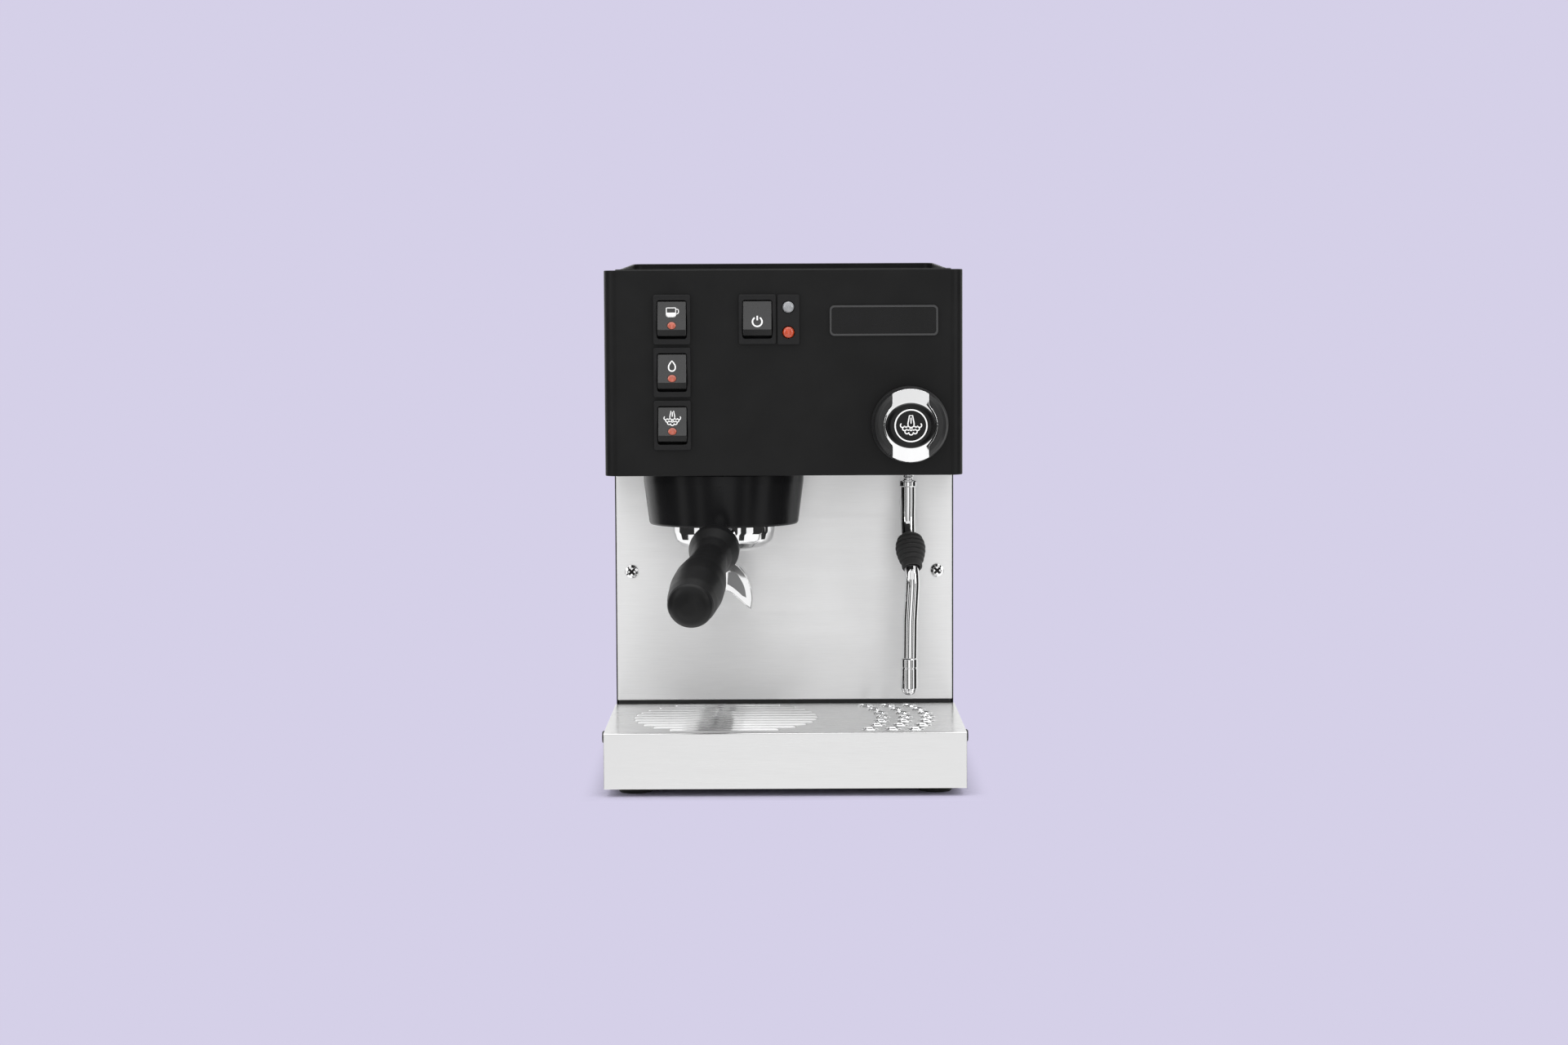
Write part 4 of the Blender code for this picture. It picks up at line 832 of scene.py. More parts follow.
def steam_icon(size):
    """A nozzle that blows into three rows of cloud, in outline; size is half its width."""
    nozzle = [(-0.15, 0.94), (0.15, 0.94), (0.22, 0.55), (0.29, 0.20), (0.27, -0.02), (0.15, -0.13),
              (0.0, -0.17), (-0.15, -0.13), (-0.27, -0.02), (-0.29, 0.20), (-0.22, 0.55)]
    inner = [(0.0, 0.76), (0.0, 0.20)]
    right = [arc_path((x, y), *rest) for x, y, *rest in (
        (0.46, 0.04, 0.17, 200.0, 345.0, 10), (0.80, 0.03, 0.19, 205.0, 420.0, 14),
        (0.25, -0.24, 0.17, 175.0, 330.0, 10), (0.60, -0.26, 0.19, 190.0, 375.0, 12),
        (0.38, -0.56, 0.19, 195.0, 375.0, 12))]
    lines = right + [[(-x, y) for x, y in line] for line in right]
    lines += [inner, arc_path((0.0, -0.66), 0.20, 190.0, 350.0, 12),
              arc_path((0.0, -0.30), 0.15, 200.0, 340.0, 10)]
    lines = [([(x * size, y * size) for x, y in line], False) for line in lines]
    return lines + [([(x * size, y * size) for x, y in nozzle], True)]


def switch_frame(name, x, z):
    """A switch's frame with its collar, and the closed box behind the panel."""
    front = HEAD_FRONT - GAP - 2.2
    well = panel_outline((x - 9.65, x + 9.65), (z - 12.5, z + 12.5), 1.6)
    rim = slab("rim", [panel_outline((x - 12.15, x + 12.15), (z - 16.15, z + 16.15), 1.5), well],
               (front, HEAD_FRONT - GAP), "front", 0.55, 4)
    walls = slab("walls", [panel_outline((x - 10.9, x + 10.9), (z - 14.9, z + 14.9), 1.5),
                           panel_outline((x - 9.8, x + 9.8), (z - 12.6, z + 12.6), 1.5)],
                 (HEAD_FRONT - GAP, HEAD_FRONT + 12.1), "front", 0.05)
    base = slab("base", [panel_outline((x - 10.9, x + 10.9), (z - 14.9, z + 14.9), 1.5)],
                (HEAD_FRONT + 12.0, HEAD_FRONT + 20.0), "front", 0.3)
    dress(joined(name + "_switch_frame", rim, walls, base), "casing", "black_plastic",
          "switch_black", replaces=[name + "_switch_housing"])


def rocker(name, x, z):
    """A rocker with its printed sign and its lens, leaning out at its lower end."""
    body = f"{name}_switch"
    lean = (Matrix.Translation((x, ROCKER_PIVOT, z)) @ Matrix.Rotation(ROCKER_REST, 4, "X"))
    side = outline((-8.1, 1.2, 99.0), (-8.9, 10.3, 0.4), (-7.2, 11.2, 0.6), (1.0, 9.6, 0.6),
                   (3.0, 4.0, 0.6), (3.0, -4.0, 0.6), (1.0, -9.0, 0.6), (-4.8, -11.7, 0.9),
                   (-8.9, -7.9, 0.4))
    shell = slab(name + "_rocker_shell", [side], (-9.3, 9.3), "side", 0.45, 3)
    if name != "power":
        seat = lathe("seat", [(0.0, -2.0), (2.62, -2.0), (2.62, 0.0), (3.1, 2.0), (0.0, 2.0)],
                     at=(0.0, -8.6, -5.3), along=(0.0, -1.0, 0.0), steps=64)
        combine(shell, moved(seat, Matrix.Diagonal((1.14, 1.0, 1.0, 1.0))))
        lens = lathe(name + "_rocker_lens",
                     [(0.0, 0.75), (1.5, 0.62), (2.35, 0.1, 0.4), (2.35, -1.7), (0.0, -1.7)],
                     at=(0.0, -8.55, -5.3), along=(0.0, -1.0, 0.0), steps=64)
        moved(lens, lean @ Matrix.Diagonal((1.15, 1.0, 1.0, 1.0)))
        dress(lens, body, "amber_lens", "rocker_lens", replaces=[name + "_rocker_lamp"])
    dress(moved(shell, lean), body, "black_plastic", "rocker_black", replaces=[name + "_rocker"])

    # a near-black strip along the rocker's lower front edge: painted shade
    foot = slab(name + "_rocker_edge_shade", [outline((-8.674, -8.219), (-5.154, -11.479),
                                                (-4.964, -11.273), (-8.484, -8.013))],
                (-9.0, 9.0), "side", 0.03)
    dress(moved(foot, lean), body, "black_plastic", "cap_black")
    rise = {"brew": 3.4, "water": 2.9, "steam": 3.3, "power": -2.8}[name]
    bow = (rise - 1.2) / 100.0
    place = (lean @ Matrix.Translation((0.0, -8.54 - bow * bow * 50.0, rise))
             @ Matrix.Rotation(bow, 4, "X") @ FRONT)
    if name == "brew":
        mark = strokes("mark", cup_icon(), place, 0.52)
        filling = slab("filling", cup_filling(), (-PRINT, PRINT), "level", 0.01)
        mark = joined(name + "_sign", mark, moved(filling, place))
    elif name == "water":
        mark = strokes(name + "_sign", drop_icon(), place, 0.85)
    elif name == "steam":
        mark = strokes(name + "_sign", steam_icon(5.5), place, 0.6)
    else:
        mark = strokes(name + "_sign", power_icon(), place, 0.95)
    dress(mark, body, "white_plastic", "print_white")


def pilot_lamps():
    """The small lamp panel with its two lenses."""
    holes = [round_outline((LAMP_X, height), 4.05, 48) for height in LAMP_PLACES.values()]
    panel = slab("lamp_plate",
                 [panel_outline((LAMP_X - 7.2, LAMP_X + 7.2), (291.6, 324.0), 1.2), *holes],
                 (HEAD_FRONT - GAP - 1.6, HEAD_FRONT - GAP), "front", 0.35, 3)
    dress(panel, "casing", "black_plastic", "switch_black", replaces=["lamp_panel"])
    for name, slot in (("ready", "clear_lens"), ("power", "amber_lens")):
        lens = lathe(name + "_lens", [(0.0, 2.7), (2.0, 2.45), (3.3, 1.4, 0.8), (3.75, 0.2, 0.3),
                                      (3.75, -6.0), (0.0, -6.0)],
                     at=(LAMP_X, HEAD_FRONT - 1.2, LAMP_PLACES[name]), along=(0.0, -1.0, 0.0))
        dress(lens, "casing", slot, replaces=[name + "_lamp_lens"])


def badge():
    """A blank badge: a sunk field inside a thin raised border."""
    left, right, low, high = BADGE
    base = slab("field", [panel_outline((left + 0.6, right - 0.6), (low + 0.6, high - 0.6), 2.6)],
                (HEAD_FRONT - GAP - 0.7, HEAD_FRONT - GAP), "front", 0.1)
    border = slab("border",
                  [panel_outline((left, right), (low, high), 3.0),
                   panel_outline((left + 1.3, right - 1.3), (low + 1.3, high - 1.3), 2.0)],
                  (HEAD_FRONT - GAP - 1.15, HEAD_FRONT - GAP), "front", 0.25, 3)
    dress(base, "casing", "badge_black", replaces=["badge_plate"]).name = "blank_badge"
    # the border in a lighter black than the field: painted highlight
    dress(border, "casing", "badge_black", "badge_border_painted_highlight").name = "badge_border_painted_highlight"


for label, (across, height) in SWITCH_PLACES.items():
    switch_frame(label, across, height)
    rocker(label, across, height)
pilot_lamps()
badge()


def band_shape(grow=0.0):
    """Outline of the knob's bright band: straight ends that flare into a ring round the cap."""
    half, ring, rim, fillet_radius = 11.8 + grow, 17.4 + grow, 23.6 + grow, 4.0 - grow
    rise = math.sqrt((ring + fillet_radius) ** 2 - (half + fillet_radius) ** 2)
    turn = math.degrees(math.atan2(rise, half + fillet_radius))
    corner = math.degrees(math.asin(half / rim))
    top_right = ([(rim * math.sin(math.radians(a)), rim * math.cos(math.radians(a)))
                  for a in (corner * i / 8 for i in range(9))]
                 + arc_path((half + fillet_radius, rise), fillet_radius, 180.0, 180.0 + turn, 10)
                 + arc_path((0.0, 0.0), ring, turn, 0.0, 16)[1:])
    right = top_right + [(x, -y) for x, y in top_right[-2::-1]]
    return right + [(-x, y) for x, y in right[-2:0:-1]]


def knob():
    """The steam knob: a grip with a channel, the band that lies in it, and the printed cap."""
    front = (0.0, -1.0, 0.0)
    back = HEAD_FRONT - 2.6
    at = Matrix.Translation((KNOB_X, back, KNOB_Z))
    grip = lathe("knob_shell", [(0.0, 20.9), (20.6, 20.7, 1.5), (23.45, 18.0, 2.4),
                                (23.7, 8.6, 3.0), (25.0, 6.4, 1.4), (25.0, 1.0, 0.8),
                                (24.0, 0.0), (3.3, 0.0), (3.3, 14.0), (0.0, 14.0)],
                 along=front, steps=144)
    channel = slab("channel", [band_shape(0.35)], (-30.0, -18.7), "front", 0.02)
    combine(grip, channel)
    dress(moved(grip, at), "steam_knob", "black_plastic", "knob_black", replaces=["knob_grip"],
          edge=0.22)

    strip = lathe("band", [(0.0, 22.3), (8.0, 22.0, 12.0), (16.0, 21.3, 14.0), (23.9, 19.9),
                           (23.9, 18.95), (0.0, 18.95)], along=front, steps=144)
    combine(strip, slab("trim", [band_shape()], (-30.0, -10.0), "front", 0.02), "INTERSECT")
    strip.name = "knob_bright_band"
    dress(moved(strip, at), "steam_knob", "chrome", replaces=["knob_band"], edge=0.3)

    cap = lathe("knob_disc", [(0.0, 2.1), (12.4, 2.1, 4.0), (14.9, 1.5, 1.2), (15.5, 0.2, 0.3),
                              (15.5, -1.6), (0.0, -1.6)], along=front)
    moved(cap, Matrix.Translation((KNOB_X, back - 21.7, KNOB_Z))
          @ Matrix.Diagonal((1.055, 1.0, 0.945, 1.0)))
    dress(cap, "steam_knob", "black_plastic", "cap_black", replaces=["knob_cap"])
    place = Matrix.Translation((KNOB_X, back - 23.82, KNOB_Z)) @ FRONT
    ring = strokes("ring", [(arc_path((0.0, 0.0), 10.2, 0.0, 357.5, 143), True)], place, 0.85)
    sign = strokes("sign", steam_icon(6.9), place, 0.72)
    dress(joined("knob_print", ring, sign), "steam_knob", "white_plastic", "print_white")


knob()


# ---------------------------------------------------------------- brew group and portafilter

GROUP = Vector((-40.5, TRAY_FRONT + 88.5, 0.0))
HANDLE_YAW = math.radians(4.6)
GRIP_YAW = math.radians(7.0)
HANDLE_DROOP = math.radians(14.2)
FLANGE_Z = 161.7
HANDLE_LENGTH = 112.5
FLANGE = Vector((-44.3, GROUP.y - 75.0, FLANGE_Z))
AHEAD = Vector((FLANGE.x - GROUP.x, FLANGE.y - GROUP.y, 0.0)).normalized()
ALONG = Vector((-math.sin(GRIP_YAW) * math.cos(HANDLE_DROOP),
                -math.cos(GRIP_YAW) * math.cos(HANDLE_DROOP), -math.sin(HANDLE_DROOP)))


def sector(inner, outer, middle, half, steps=14):
    """Outline of a ring's sector about the group's axis, angles in degrees from +X."""
    centre = (GROUP.x, GROUP.y)
    return (arc_path(centre, outer, middle - half, middle + half, steps)
            + arc_path(centre, inner, middle + half, middle - half, steps))


def bell():
    """The black bell round the group head, with a rolled lower edge."""
    top = HEAD_LOW - GAP
    shell = lathe("bell_shell", [(53.6, top, 0.5), (53.6, top - 6.0, 9.0), (50.0, 172.4, 1.2),
                                 (49.2, 171.3, 0.4), (47.6, 171.3, 0.5), (51.2, top - 6.0, 6.0),
                                 (51.0, top - 1.6), (42.6, top - 1.6), (42.6, top)],
                  at=GROUP, steps=192, ring=True, arc_steps=8)
    dress(shell, "casing", "black_bell", replaces=["group_bell"])


def head_casting():
    """The group head: a turned ring with its bayonet groove, two gates and a middle hole."""
    ring = lathe("group_casting", [(0.0, 214.1), (27.0, 214.1), (27.0, 209.0), (42.0, 209.0, 0.6),
                                   (42.0, 173.4, 0.8), (41.0, 172.6, 0.3), (35.2, 172.6, 0.4),
                                   (35.2, 178.6), (38.8, 178.6), (38.8, 185.6), (34.5, 185.6),
                                   (34.5, 194.0), (26.8, 194.0), (26.8, 191.0), (0.0, 191.0)],
                 at=GROUP)
    turn = -OPEN_TURN - math.degrees(HANDLE_YAW)
    for side in (0.0, 180.0):
        combine(ring, slab("gate", [sector(30.0, 38.6, turn + side, 22.0)], (170.0, 180.0)))
    combine(ring, lathe("hole", [(0.0, 185.0), (4.0, 185.0), (4.0, 216.0), (0.0, 216.0)], at=GROUP,
                        steps=32))
    dress(ring, "casing", "chrome", "cast_chrome", replaces=["group_head"])
    gasket = lathe("gasket_ring", [(34.2, 193.7, 0.6), (34.2, 186.6, 0.6), (27.4, 186.6, 0.6),
                                   (27.4, 193.7, 0.6)], at=GROUP, ring=True)
    dress(gasket, "casing", "rubber", replaces=["group_gasket"])


def shower():
    """The shower screen: a shallow steel dish with rings of near-black discs that paint the shade
    of small holes, and its screw.
    """
    dish = lathe("shower_dish", [(0.0, 190.6), (26.4, 190.6, 0.3), (27.0, 190.0, 0.4),
                                 (27.0, 188.4, 0.8), (25.6, 187.4, 0.6), (3.4, 187.4), (3.4, 189.4),
                                 (0.0, 189.4)], at=GROUP)
    dress(dish, "casing", "stainless", "bright_steel", replaces=["shower_screen"])
    # thin near-black discs where the holes would be: painted shade
    dots = []
    for ring, count in ((7.0, 10), (11.0, 16), (15.0, 22), (19.0, 28), (23.0, 34)):
        for index in range(count):
            angle = math.tau * index / count
            spot = Vector((ring * math.cos(angle), ring * math.sin(angle), 0.0))
            dots.append(lathe("dot", [(0.0, 187.47), (0.55, 187.47), (0.55, 187.32), (0.0, 187.32)],
                              at=GROUP + spot, steps=12))
    dress(joined("shower_hole_shade_discs", *dots), "casing", "rubber")
    cross_screw("shower_screw", GROUP + Vector((0.0, 0.0, 189.2)), (0.0, 0.0, -1.0), 3.0,
                "stainless", shank=0.3, finish="bright_steel")


def bowl():
    """The portafilter's chromed bowl with its lugs, arm and the arm's collar."""
    body = lathe("porta_bowl", [(34.2, 184.4, 0.6), (34.2, 166.0, 6.0), (32.6, 160.0, 6.0),
                                (28.2, 155.8, 6.0), (20.0, 153.2, 8.0), (9.0, 152.5, 2.0),
                                (5.0, 152.5, 0.3), (5.0, 156.0), (24.0, 158.5, 4.0),
                                (30.4, 163.0, 2.0), (30.4, 184.4, 0.4)],
                 at=GROUP, steps=192, ring=True, arc_steps=7)
    arm = [GROUP + AHEAD * reach + Vector((0.0, 0.0, height)) for reach, height in (
        (31.0, 163.4), (38.0, 163.3), (46.0, 163.2), (54.0, 163.1), (62.0, 162.9), (72.0, 162.4))]
    neck = tube("arm", arm, [10.6, 8.9, 7.6, 7.1, 7.1, 7.4], 48, (0.0, 0.0, 1.0))
    combine(body, neck, "UNION")
    collar = lathe("collar", [(0.0, 7.4), (7.4, 7.4, 0.6), (8.9, 6.0, 0.5), (8.9, 0.5, 0.4),
                              (8.4, 0.25, 0.2), (0.0, 0.25)], at=FLANGE, along=-ALONG, steps=64)
    combine(body, collar, "UNION")
    for side in (0.0, 180.0):
        lug = slab("lug", [sector(32.2, 37.8, side - math.degrees(HANDLE_YAW), 17.0)],
                   (179.6, 183.8), "level", 0.5, 3)
        combine(body, lug, "UNION")
    dress(body, "portafilter", "chrome", replaces=["portafilter_body"])
    basket = lathe("coffee_basket", [(0.0, 166.5), (28.2, 166.5, 1.2), (28.9, 186.1, 0.2),
                                     (33.2, 186.1, 0.4), (33.2, 184.7, 0.3), (29.9, 184.7, 0.4),
                                     (29.3, 165.5, 1.6), (0.0, 165.5)], at=GROUP, steps=128)
    dress(basket, "portafilter", "stainless", "bright_steel", replaces=["filter_basket"])


def spouts():
    """The twin spout: two crescent horns with raised rims round a flat web."""
    outer = [(7.4, 152.2)] + smooth([(7.3, 147.5), (7.8, 144.6), (11.0, 142.2), (15.4, 136.6),
                                     (18.4, 129.0), (19.5, 120.6), (18.4, 113.6)])
    inner = smooth([(18.4, 113.6), (15.4, 115.4), (12.0, 118.5), (8.2, 121.9), (4.3, 124.8),
                    (0.0, 126.4)])
    right = outer + inner[1:]
    arch = right + [(-x, z) for x, z in right[-2::-1]]
    place = Matrix.Translation(GROUP) @ Matrix.Rotation(-HANDLE_YAW, 4, "Z")
    horn = slab("spout_arch", [arch], (-6.4, 6.4), "front", 0.9, 4)
    inside = smooth([(3.2, 138.6), (8.0, 138.4), (11.6, 133.8), (14.2, 128.2), (15.4, 121.4)])
    below = smooth([(12.8, 122.6), (9.6, 125.6), (6.0, 128.5), (2.6, 130.5)])
    webs = []
    for side in (-1.0, 1.0):
        web = [(side * x, z) for x, z in inside + below]
        for low, high in ((-8.0, -5.3), (5.3, 8.0)):
            combine(horn, slab("web", [web], (low, high), "front", 0.1))
            webs.append(slab("web_face", [web], (-5.45, -5.25) if low < 0.0 else (5.25, 5.45),
                             "front", 0.03))
        throat = [Vector((side * x, 0.0, z)) for x, z in (
            (3.0, 146.0), (8.0, 138.0), (13.0, 130.0), (15.8, 123.0), (16.9, 117.0), (17.2, 109.0))]
        combine(horn, tube("throat", throat, [2.2, 2.2, 2.1, 1.8, 1.3, 1.1], 20))
    combine(horn, lathe("well", [(0.0, 140.0), (4.6, 140.0), (4.6, 156.0), (0.0, 156.0)], steps=40))
    dress(moved(horn, place), "portafilter", "chrome", replaces=["portafilter_spout"])
    dress(moved(joined("spout_webs", *webs), place), "portafilter", "chrome", "cast_chrome")


def handle():
    """The moulded handle, and its end cap behind a fine seam."""
    length = HANDLE_LENGTH
    grip = lathe("handle_grip", [(0.0, length), (14.3, length, 0.5), (15.5, length - 7.0, 30.0),
                                 (16.9, length - 26.0, 40.0), (16.4, length - 42.0, 60.0),
                                 (13.4, 50.0, 60.0), (11.4, 30.0, 12.0), (13.2, 20.0, 12.0),
                                 (16.4, 10.5, 7.0), (15.8, 1.0, 6.0), (10.6, 0.0, 0.6),
                                 (0.0, 0.0)],
                 at=FLANGE, along=ALONG, steps=144, arc_steps=10)
    dress(grip, "portafilter", "black_plastic", "handle_black", replaces=["portafilter_handle"])
    cap = lathe("handle_end", [(0.0, 7.0), (5.0, 6.9, 12.0), (10.6, 5.2, 9.0), (13.6, 2.4, 4.0),
                               (14.4, 0.2, 0.2), (14.0, 0.0, 0.1), (0.0, 0.0)],
                at=FLANGE + ALONG * (length + GAP), along=ALONG, steps=144, arc_steps=10)
    dress(cap, "portafilter", "black_plastic", "handle_black", replaces=["handle_cap"])


bell()
head_casting()
shower()
bowl()
spouts()
handle()


# ---------------------------------------------------------------- steam wand

WAND = Vector((83.8, TRAY_FRONT + 100.0, 0.0))
BALL_Z = 207.0
UPPER_BEND = Vector((83.6, WAND.y, 167.5))
LOWER_BEND = Vector((85.6, TRAY_FRONT + 76.0, 134.5))
WAND_TIP = Vector((83.4, TRAY_FRONT + 76.0, 56.0))


def bend(before, corner, after, radius, steps=14):
    """Points that round the corner of a path with an arc."""
    back = (before - corner).normalized()
    ahead = (after - corner).normalized()
    half = back.angle(ahead) / 2.0
    reach = radius / math.tan(half)
    middle = corner + (back + ahead).normalized() * (radius / math.sin(half))
    first = corner + back * reach - middle
    last = corner + ahead * reach - middle
    sweep = math.pi - 2.0 * half
    return [middle + (first * math.sin((1.0 - i / steps) * sweep)
                      + last * math.sin(i / steps * sweep)) / math.sin(sweep)
            for i in range(steps + 1)]


def wand_joint():
    """The nut under the head, and the pale seat ring that holds the wand's ball."""
    low = BALL_Z - 3.4
    nut = lathe("wand_ring_nut", [(8.9, HEAD_LOW - GAP, 0.2), (8.9, low, 0.7), (6.6, low, 0.3),
                                  (7.9, BALL_Z - 1.6), (7.9, HEAD_LOW - GAP)],
                at=WAND, ring=True)
    dress(nut, "casing", "chrome", replaces=["wand_nut"])
    inner = 7.1
    curve = [(inner * math.cos(math.radians(a)), BALL_Z + inner * math.sin(math.radians(a)))
             for a in range(-9, 37, 3)]
    ring = lathe("wand_seat", [(7.6, BALL_Z + 4.4, 0.2), (7.6, BALL_Z - 1.2, 0.1), *curve],
                 at=WAND, ring=True)
    dress(ring, "wand_seat", "white_plastic", replaces=["wand_seat_ring"])


def wand_pipe():
    """The wand: ball, neck, collar and bent tube in one, as it is brazed together."""
    start = WAND + Vector((0.0, 0.0, 195.6))
    path = ([start, WAND + Vector((0.0, 0.0, 190.0)), WAND + Vector((0.0, 0.0, 184.0))]
            + bend(start, UPPER_BEND, LOWER_BEND, 28.0)
            + bend(UPPER_BEND, LOWER_BEND, WAND_TIP, 20.0)
            + [WAND_TIP + Vector((0.8, 0.0, 50.0)), WAND_TIP + Vector((0.5, 0.0, 24.9))])
    pipe = tube("wand_pipe", path, 4.8, 64)
    ball = [(6.8 * math.sin(math.radians(a)), 6.8 * math.cos(math.radians(a)))
            for a in range(0, 151, 6)]
    top = lathe("ball_and_collar",
                [(r, BALL_Z + h) for r, h in ball]
                + [(3.0, BALL_Z - 6.8, 0.6), (3.0, 198.9, 0.5), (5.1, 198.3, 0.3),
                   (5.6, 197.8, 0.3), (5.6, 194.9, 0.3), (5.1, 194.4, 0.2), (4.0, 194.4),
                   (0.0, 194.4)],
                at=WAND)
    dress(joined("wand_steel", pipe, top), "wand", "chrome", replaces=["wand_tube"])


def wand_sleeve():
    """The ribbed rubber grip on the wand's slanted part."""
    up = (UPPER_BEND - LOWER_BEND).normalized()
    top = (UPPER_BEND + LOWER_BEND) / 2.0 + up * 12.5
    outer = [(6.1, 0.0, 0.2), (6.7, -0.6, 0.5)]
    core = ((0.0, 6.8), (3.0, 8.3), (6.0, 9.3), (9.5, 9.7), (13.5, 9.3), (18.0, 8.1), (21.5, 6.9),
            (25.0, 6.7))

    def radius_at(depth):
        """Radius of the grip without its ribs, at a depth below its top."""
        for (d0, r0), (d1, r1) in zip(core, core[1:]):
            if depth <= d1:
                return r0 + (r1 - r0) * (depth - d0) / (d1 - d0)
        return core[-1][1]

    for index in range(6):
        at = 1.2 + 3.3 * index
        outer += [(radius_at(at + 0.2) - 0.5, -at, 0.25),
                  (radius_at(at + 0.6) + 0.45, -at - 0.6, 0.5),
                  (radius_at(at + 2.0) + 0.45, -at - 2.0, 0.5),
                  (radius_at(at + 2.6) - 0.95, -at - 2.55, 0.3),
                  (radius_at(at + 3.2) - 0.95, -at - 2.95, 0.2)]
    outer += [(7.0, -21.3, 0.3), (6.8, -24.4, 0.5), (6.4, -25.0, 0.2), (5.4, -25.0), (5.4, 0.0)]
    grip = lathe("wand_rubber", outer, at=top, along=up, steps=96, ring=True, arc_steps=3)
    moved(grip, Matrix.Translation((0.5, 0.0, 0.0)))
    dress(grip, "wand", "rubber", replaces=["wand_grip"])


def nozzle():
    """The steam nozzle: a sleeve with a groove, a long chamfer and four small outlets."""
    tip = lathe("steam_nozzle",
                [(0.0, 80.6), (4.9, 80.6, 0.3), (5.5, 80.0, 0.4), (5.5, 74.7, 0.15),
                 (5.15, 74.45, 0.1), (5.15, 73.95, 0.1), (5.5, 73.7, 0.15), (5.5, 60.4, 0.5),
                 (4.3, 57.4, 0.8),
                 (2.4, 56.0, 0.8), (0.0, 56.0)], at=(WAND_TIP.x, WAND_TIP.y, 0.0))
    for turn in (45.0, 135.0, 225.0, 315.0):
        angle = math.radians(turn)
        out = Vector((math.cos(angle), math.sin(angle), -0.9)).normalized()
        at = Vector((WAND_TIP.x, WAND_TIP.y, 59.4)) + out * 1.6
        combine(tip, lathe("outlet", [(0.0, 0.0), (0.55, 0.0), (0.55, 6.0), (0.0, 6.0)], at=at,
                           along=out, steps=16))
    dress(tip, "wand", "chrome", replaces=["wand_nozzle"])


wand_joint()
wand_pipe()
wand_sleeve()
nozzle()


# ---------------------------------------------------------------- drip tray, tank and inlet

COVER_HALF = 117.5
SLOTS = (-39.7, TRAY_FRONT + 74.0, 11, 11.7, 61.5, 72.0)
HOLE_ROWS = 7
HOLE_COLUMNS = (55.3, 70.3, 85.3)


def cover_slots():
    """Places of the cover's slots: middle, half length and Y of each."""
    middle, centre, count, pitch, span, reach = SLOTS
    for index in range(count):
        shift = (index - (count - 1) / 2.0) * pitch
        yield middle, span * math.sqrt(1.0 - (shift / reach) ** 2), centre + shift


def cover_holes():
    """Centres of the cover's round holes, in bowed columns."""
    for row in range(HOLE_ROWS):
        step = row - (HOLE_ROWS - 1) / 2.0
        for x in HOLE_COLUMNS:
            yield x + 9.8 * (1.0 - (step / 3.0) ** 2), TRAY_FRONT + 72.0 + step * 18.7


def tray_cover():
    """The pressed steel cover: slots, embossed holes, bent edges and its front apron."""
    openings = [panel_outline((x - half, x + half), (y - 1.75, y + 1.75), 1.7, 5)
                for x, half, y in cover_slots()]
    openings += [round_outline(spot, 4.0, 32) for spot in cover_holes()]
    sheet = panel_outline((-COVER_HALF, COVER_HALF), (TRAY_FRONT + 2.0, SPLASH_FRONT - 2.0), 0.6)
    top = slab("top", [sheet, *openings],
               (COVER_TOP - SHEET, COVER_TOP), "level", 0.3, 3)
    side = fillet([((TRAY_FRONT + 2.2, COVER_TOP), 0.0), ((TRAY_FRONT, COVER_TOP), 2.2),
                   ((TRAY_FRONT, 5.0), 0.5), ((TRAY_FRONT + SHEET, 5.0), 0.5),
                   ((TRAY_FRONT + SHEET, COVER_TOP - SHEET), 1.0),
                   ((TRAY_FRONT + 2.2, COVER_TOP - SHEET), 0.0)], True, 8)
    apron = slab("apron", [side], (-COVER_HALF, COVER_HALF), "side", 0.3, 3)
    pressed = []
    for x, half, y in cover_slots():
        loop = panel_outline((x - half - 0.3, x + half + 0.3), (y - 2.05, y + 2.05), 2.0, 6)
        pressed.append(raised_rim("slot_rim", loop, 0.8, 0.5))
    for spot in cover_holes():
        pressed.append(raised_rim("hole_rim", round_outline(spot, 4.8, 48), 1.9, 0.85))
    # top and apron are one sheet, but the top takes a lighter copy of its steel and the apron a
    # darker one: painted light
    dress(top, "cover", "stainless", "cover_top_lit_steel", replaces=["drip_cover"]).name = "cover_top"
    dress(apron, "cover", "stainless", "cover_apron_shaded_steel").name = "cover_apron"
    dress(joined("cover_rims", *pressed), "cover", "stainless", "chrome")
    for side in (-1.0, 1.0):
        out = (side, 0.0, 0.0)
        stud = lathe("cover_stud", [(0.0, 1.9), (3.4, 1.7, 0.7), (4.2, 0.7, 0.3), (4.2, 0.0),
                                    (0.0, 0.0)],
                     at=(side * (COVER_HALF - 0.1), TRAY_FRONT + 16.0, 37.0), along=out, steps=32)
        dress(stud, "cover", "rubber")


def raised_rim(name, loop, width, rise):
    """The rounded rim pressed up round an opening in the cover."""
    rings = []
    flat = [Vector((x, y, 0.0)) for x, y in loop]
    for point, side, _ in frames_along(flat, (0.0, 0.0, 1.0), True):
        ring = []
        for step in range(9):
            share = step / 8.0
            ring.append(point + side * (width * (share - 0.5))
                        + Vector((0.0, 0.0, COVER_TOP - 0.05 + rise * math.sin(math.pi * share))))
        ring += [point + side * (width * 0.5) + Vector((0.0, 0.0, COVER_TOP - 0.3)),
                 point - side * (width * 0.5) + Vector((0.0, 0.0, COVER_TOP - 0.3))]
        rings.append(ring)
    return loft(name, rings, True)


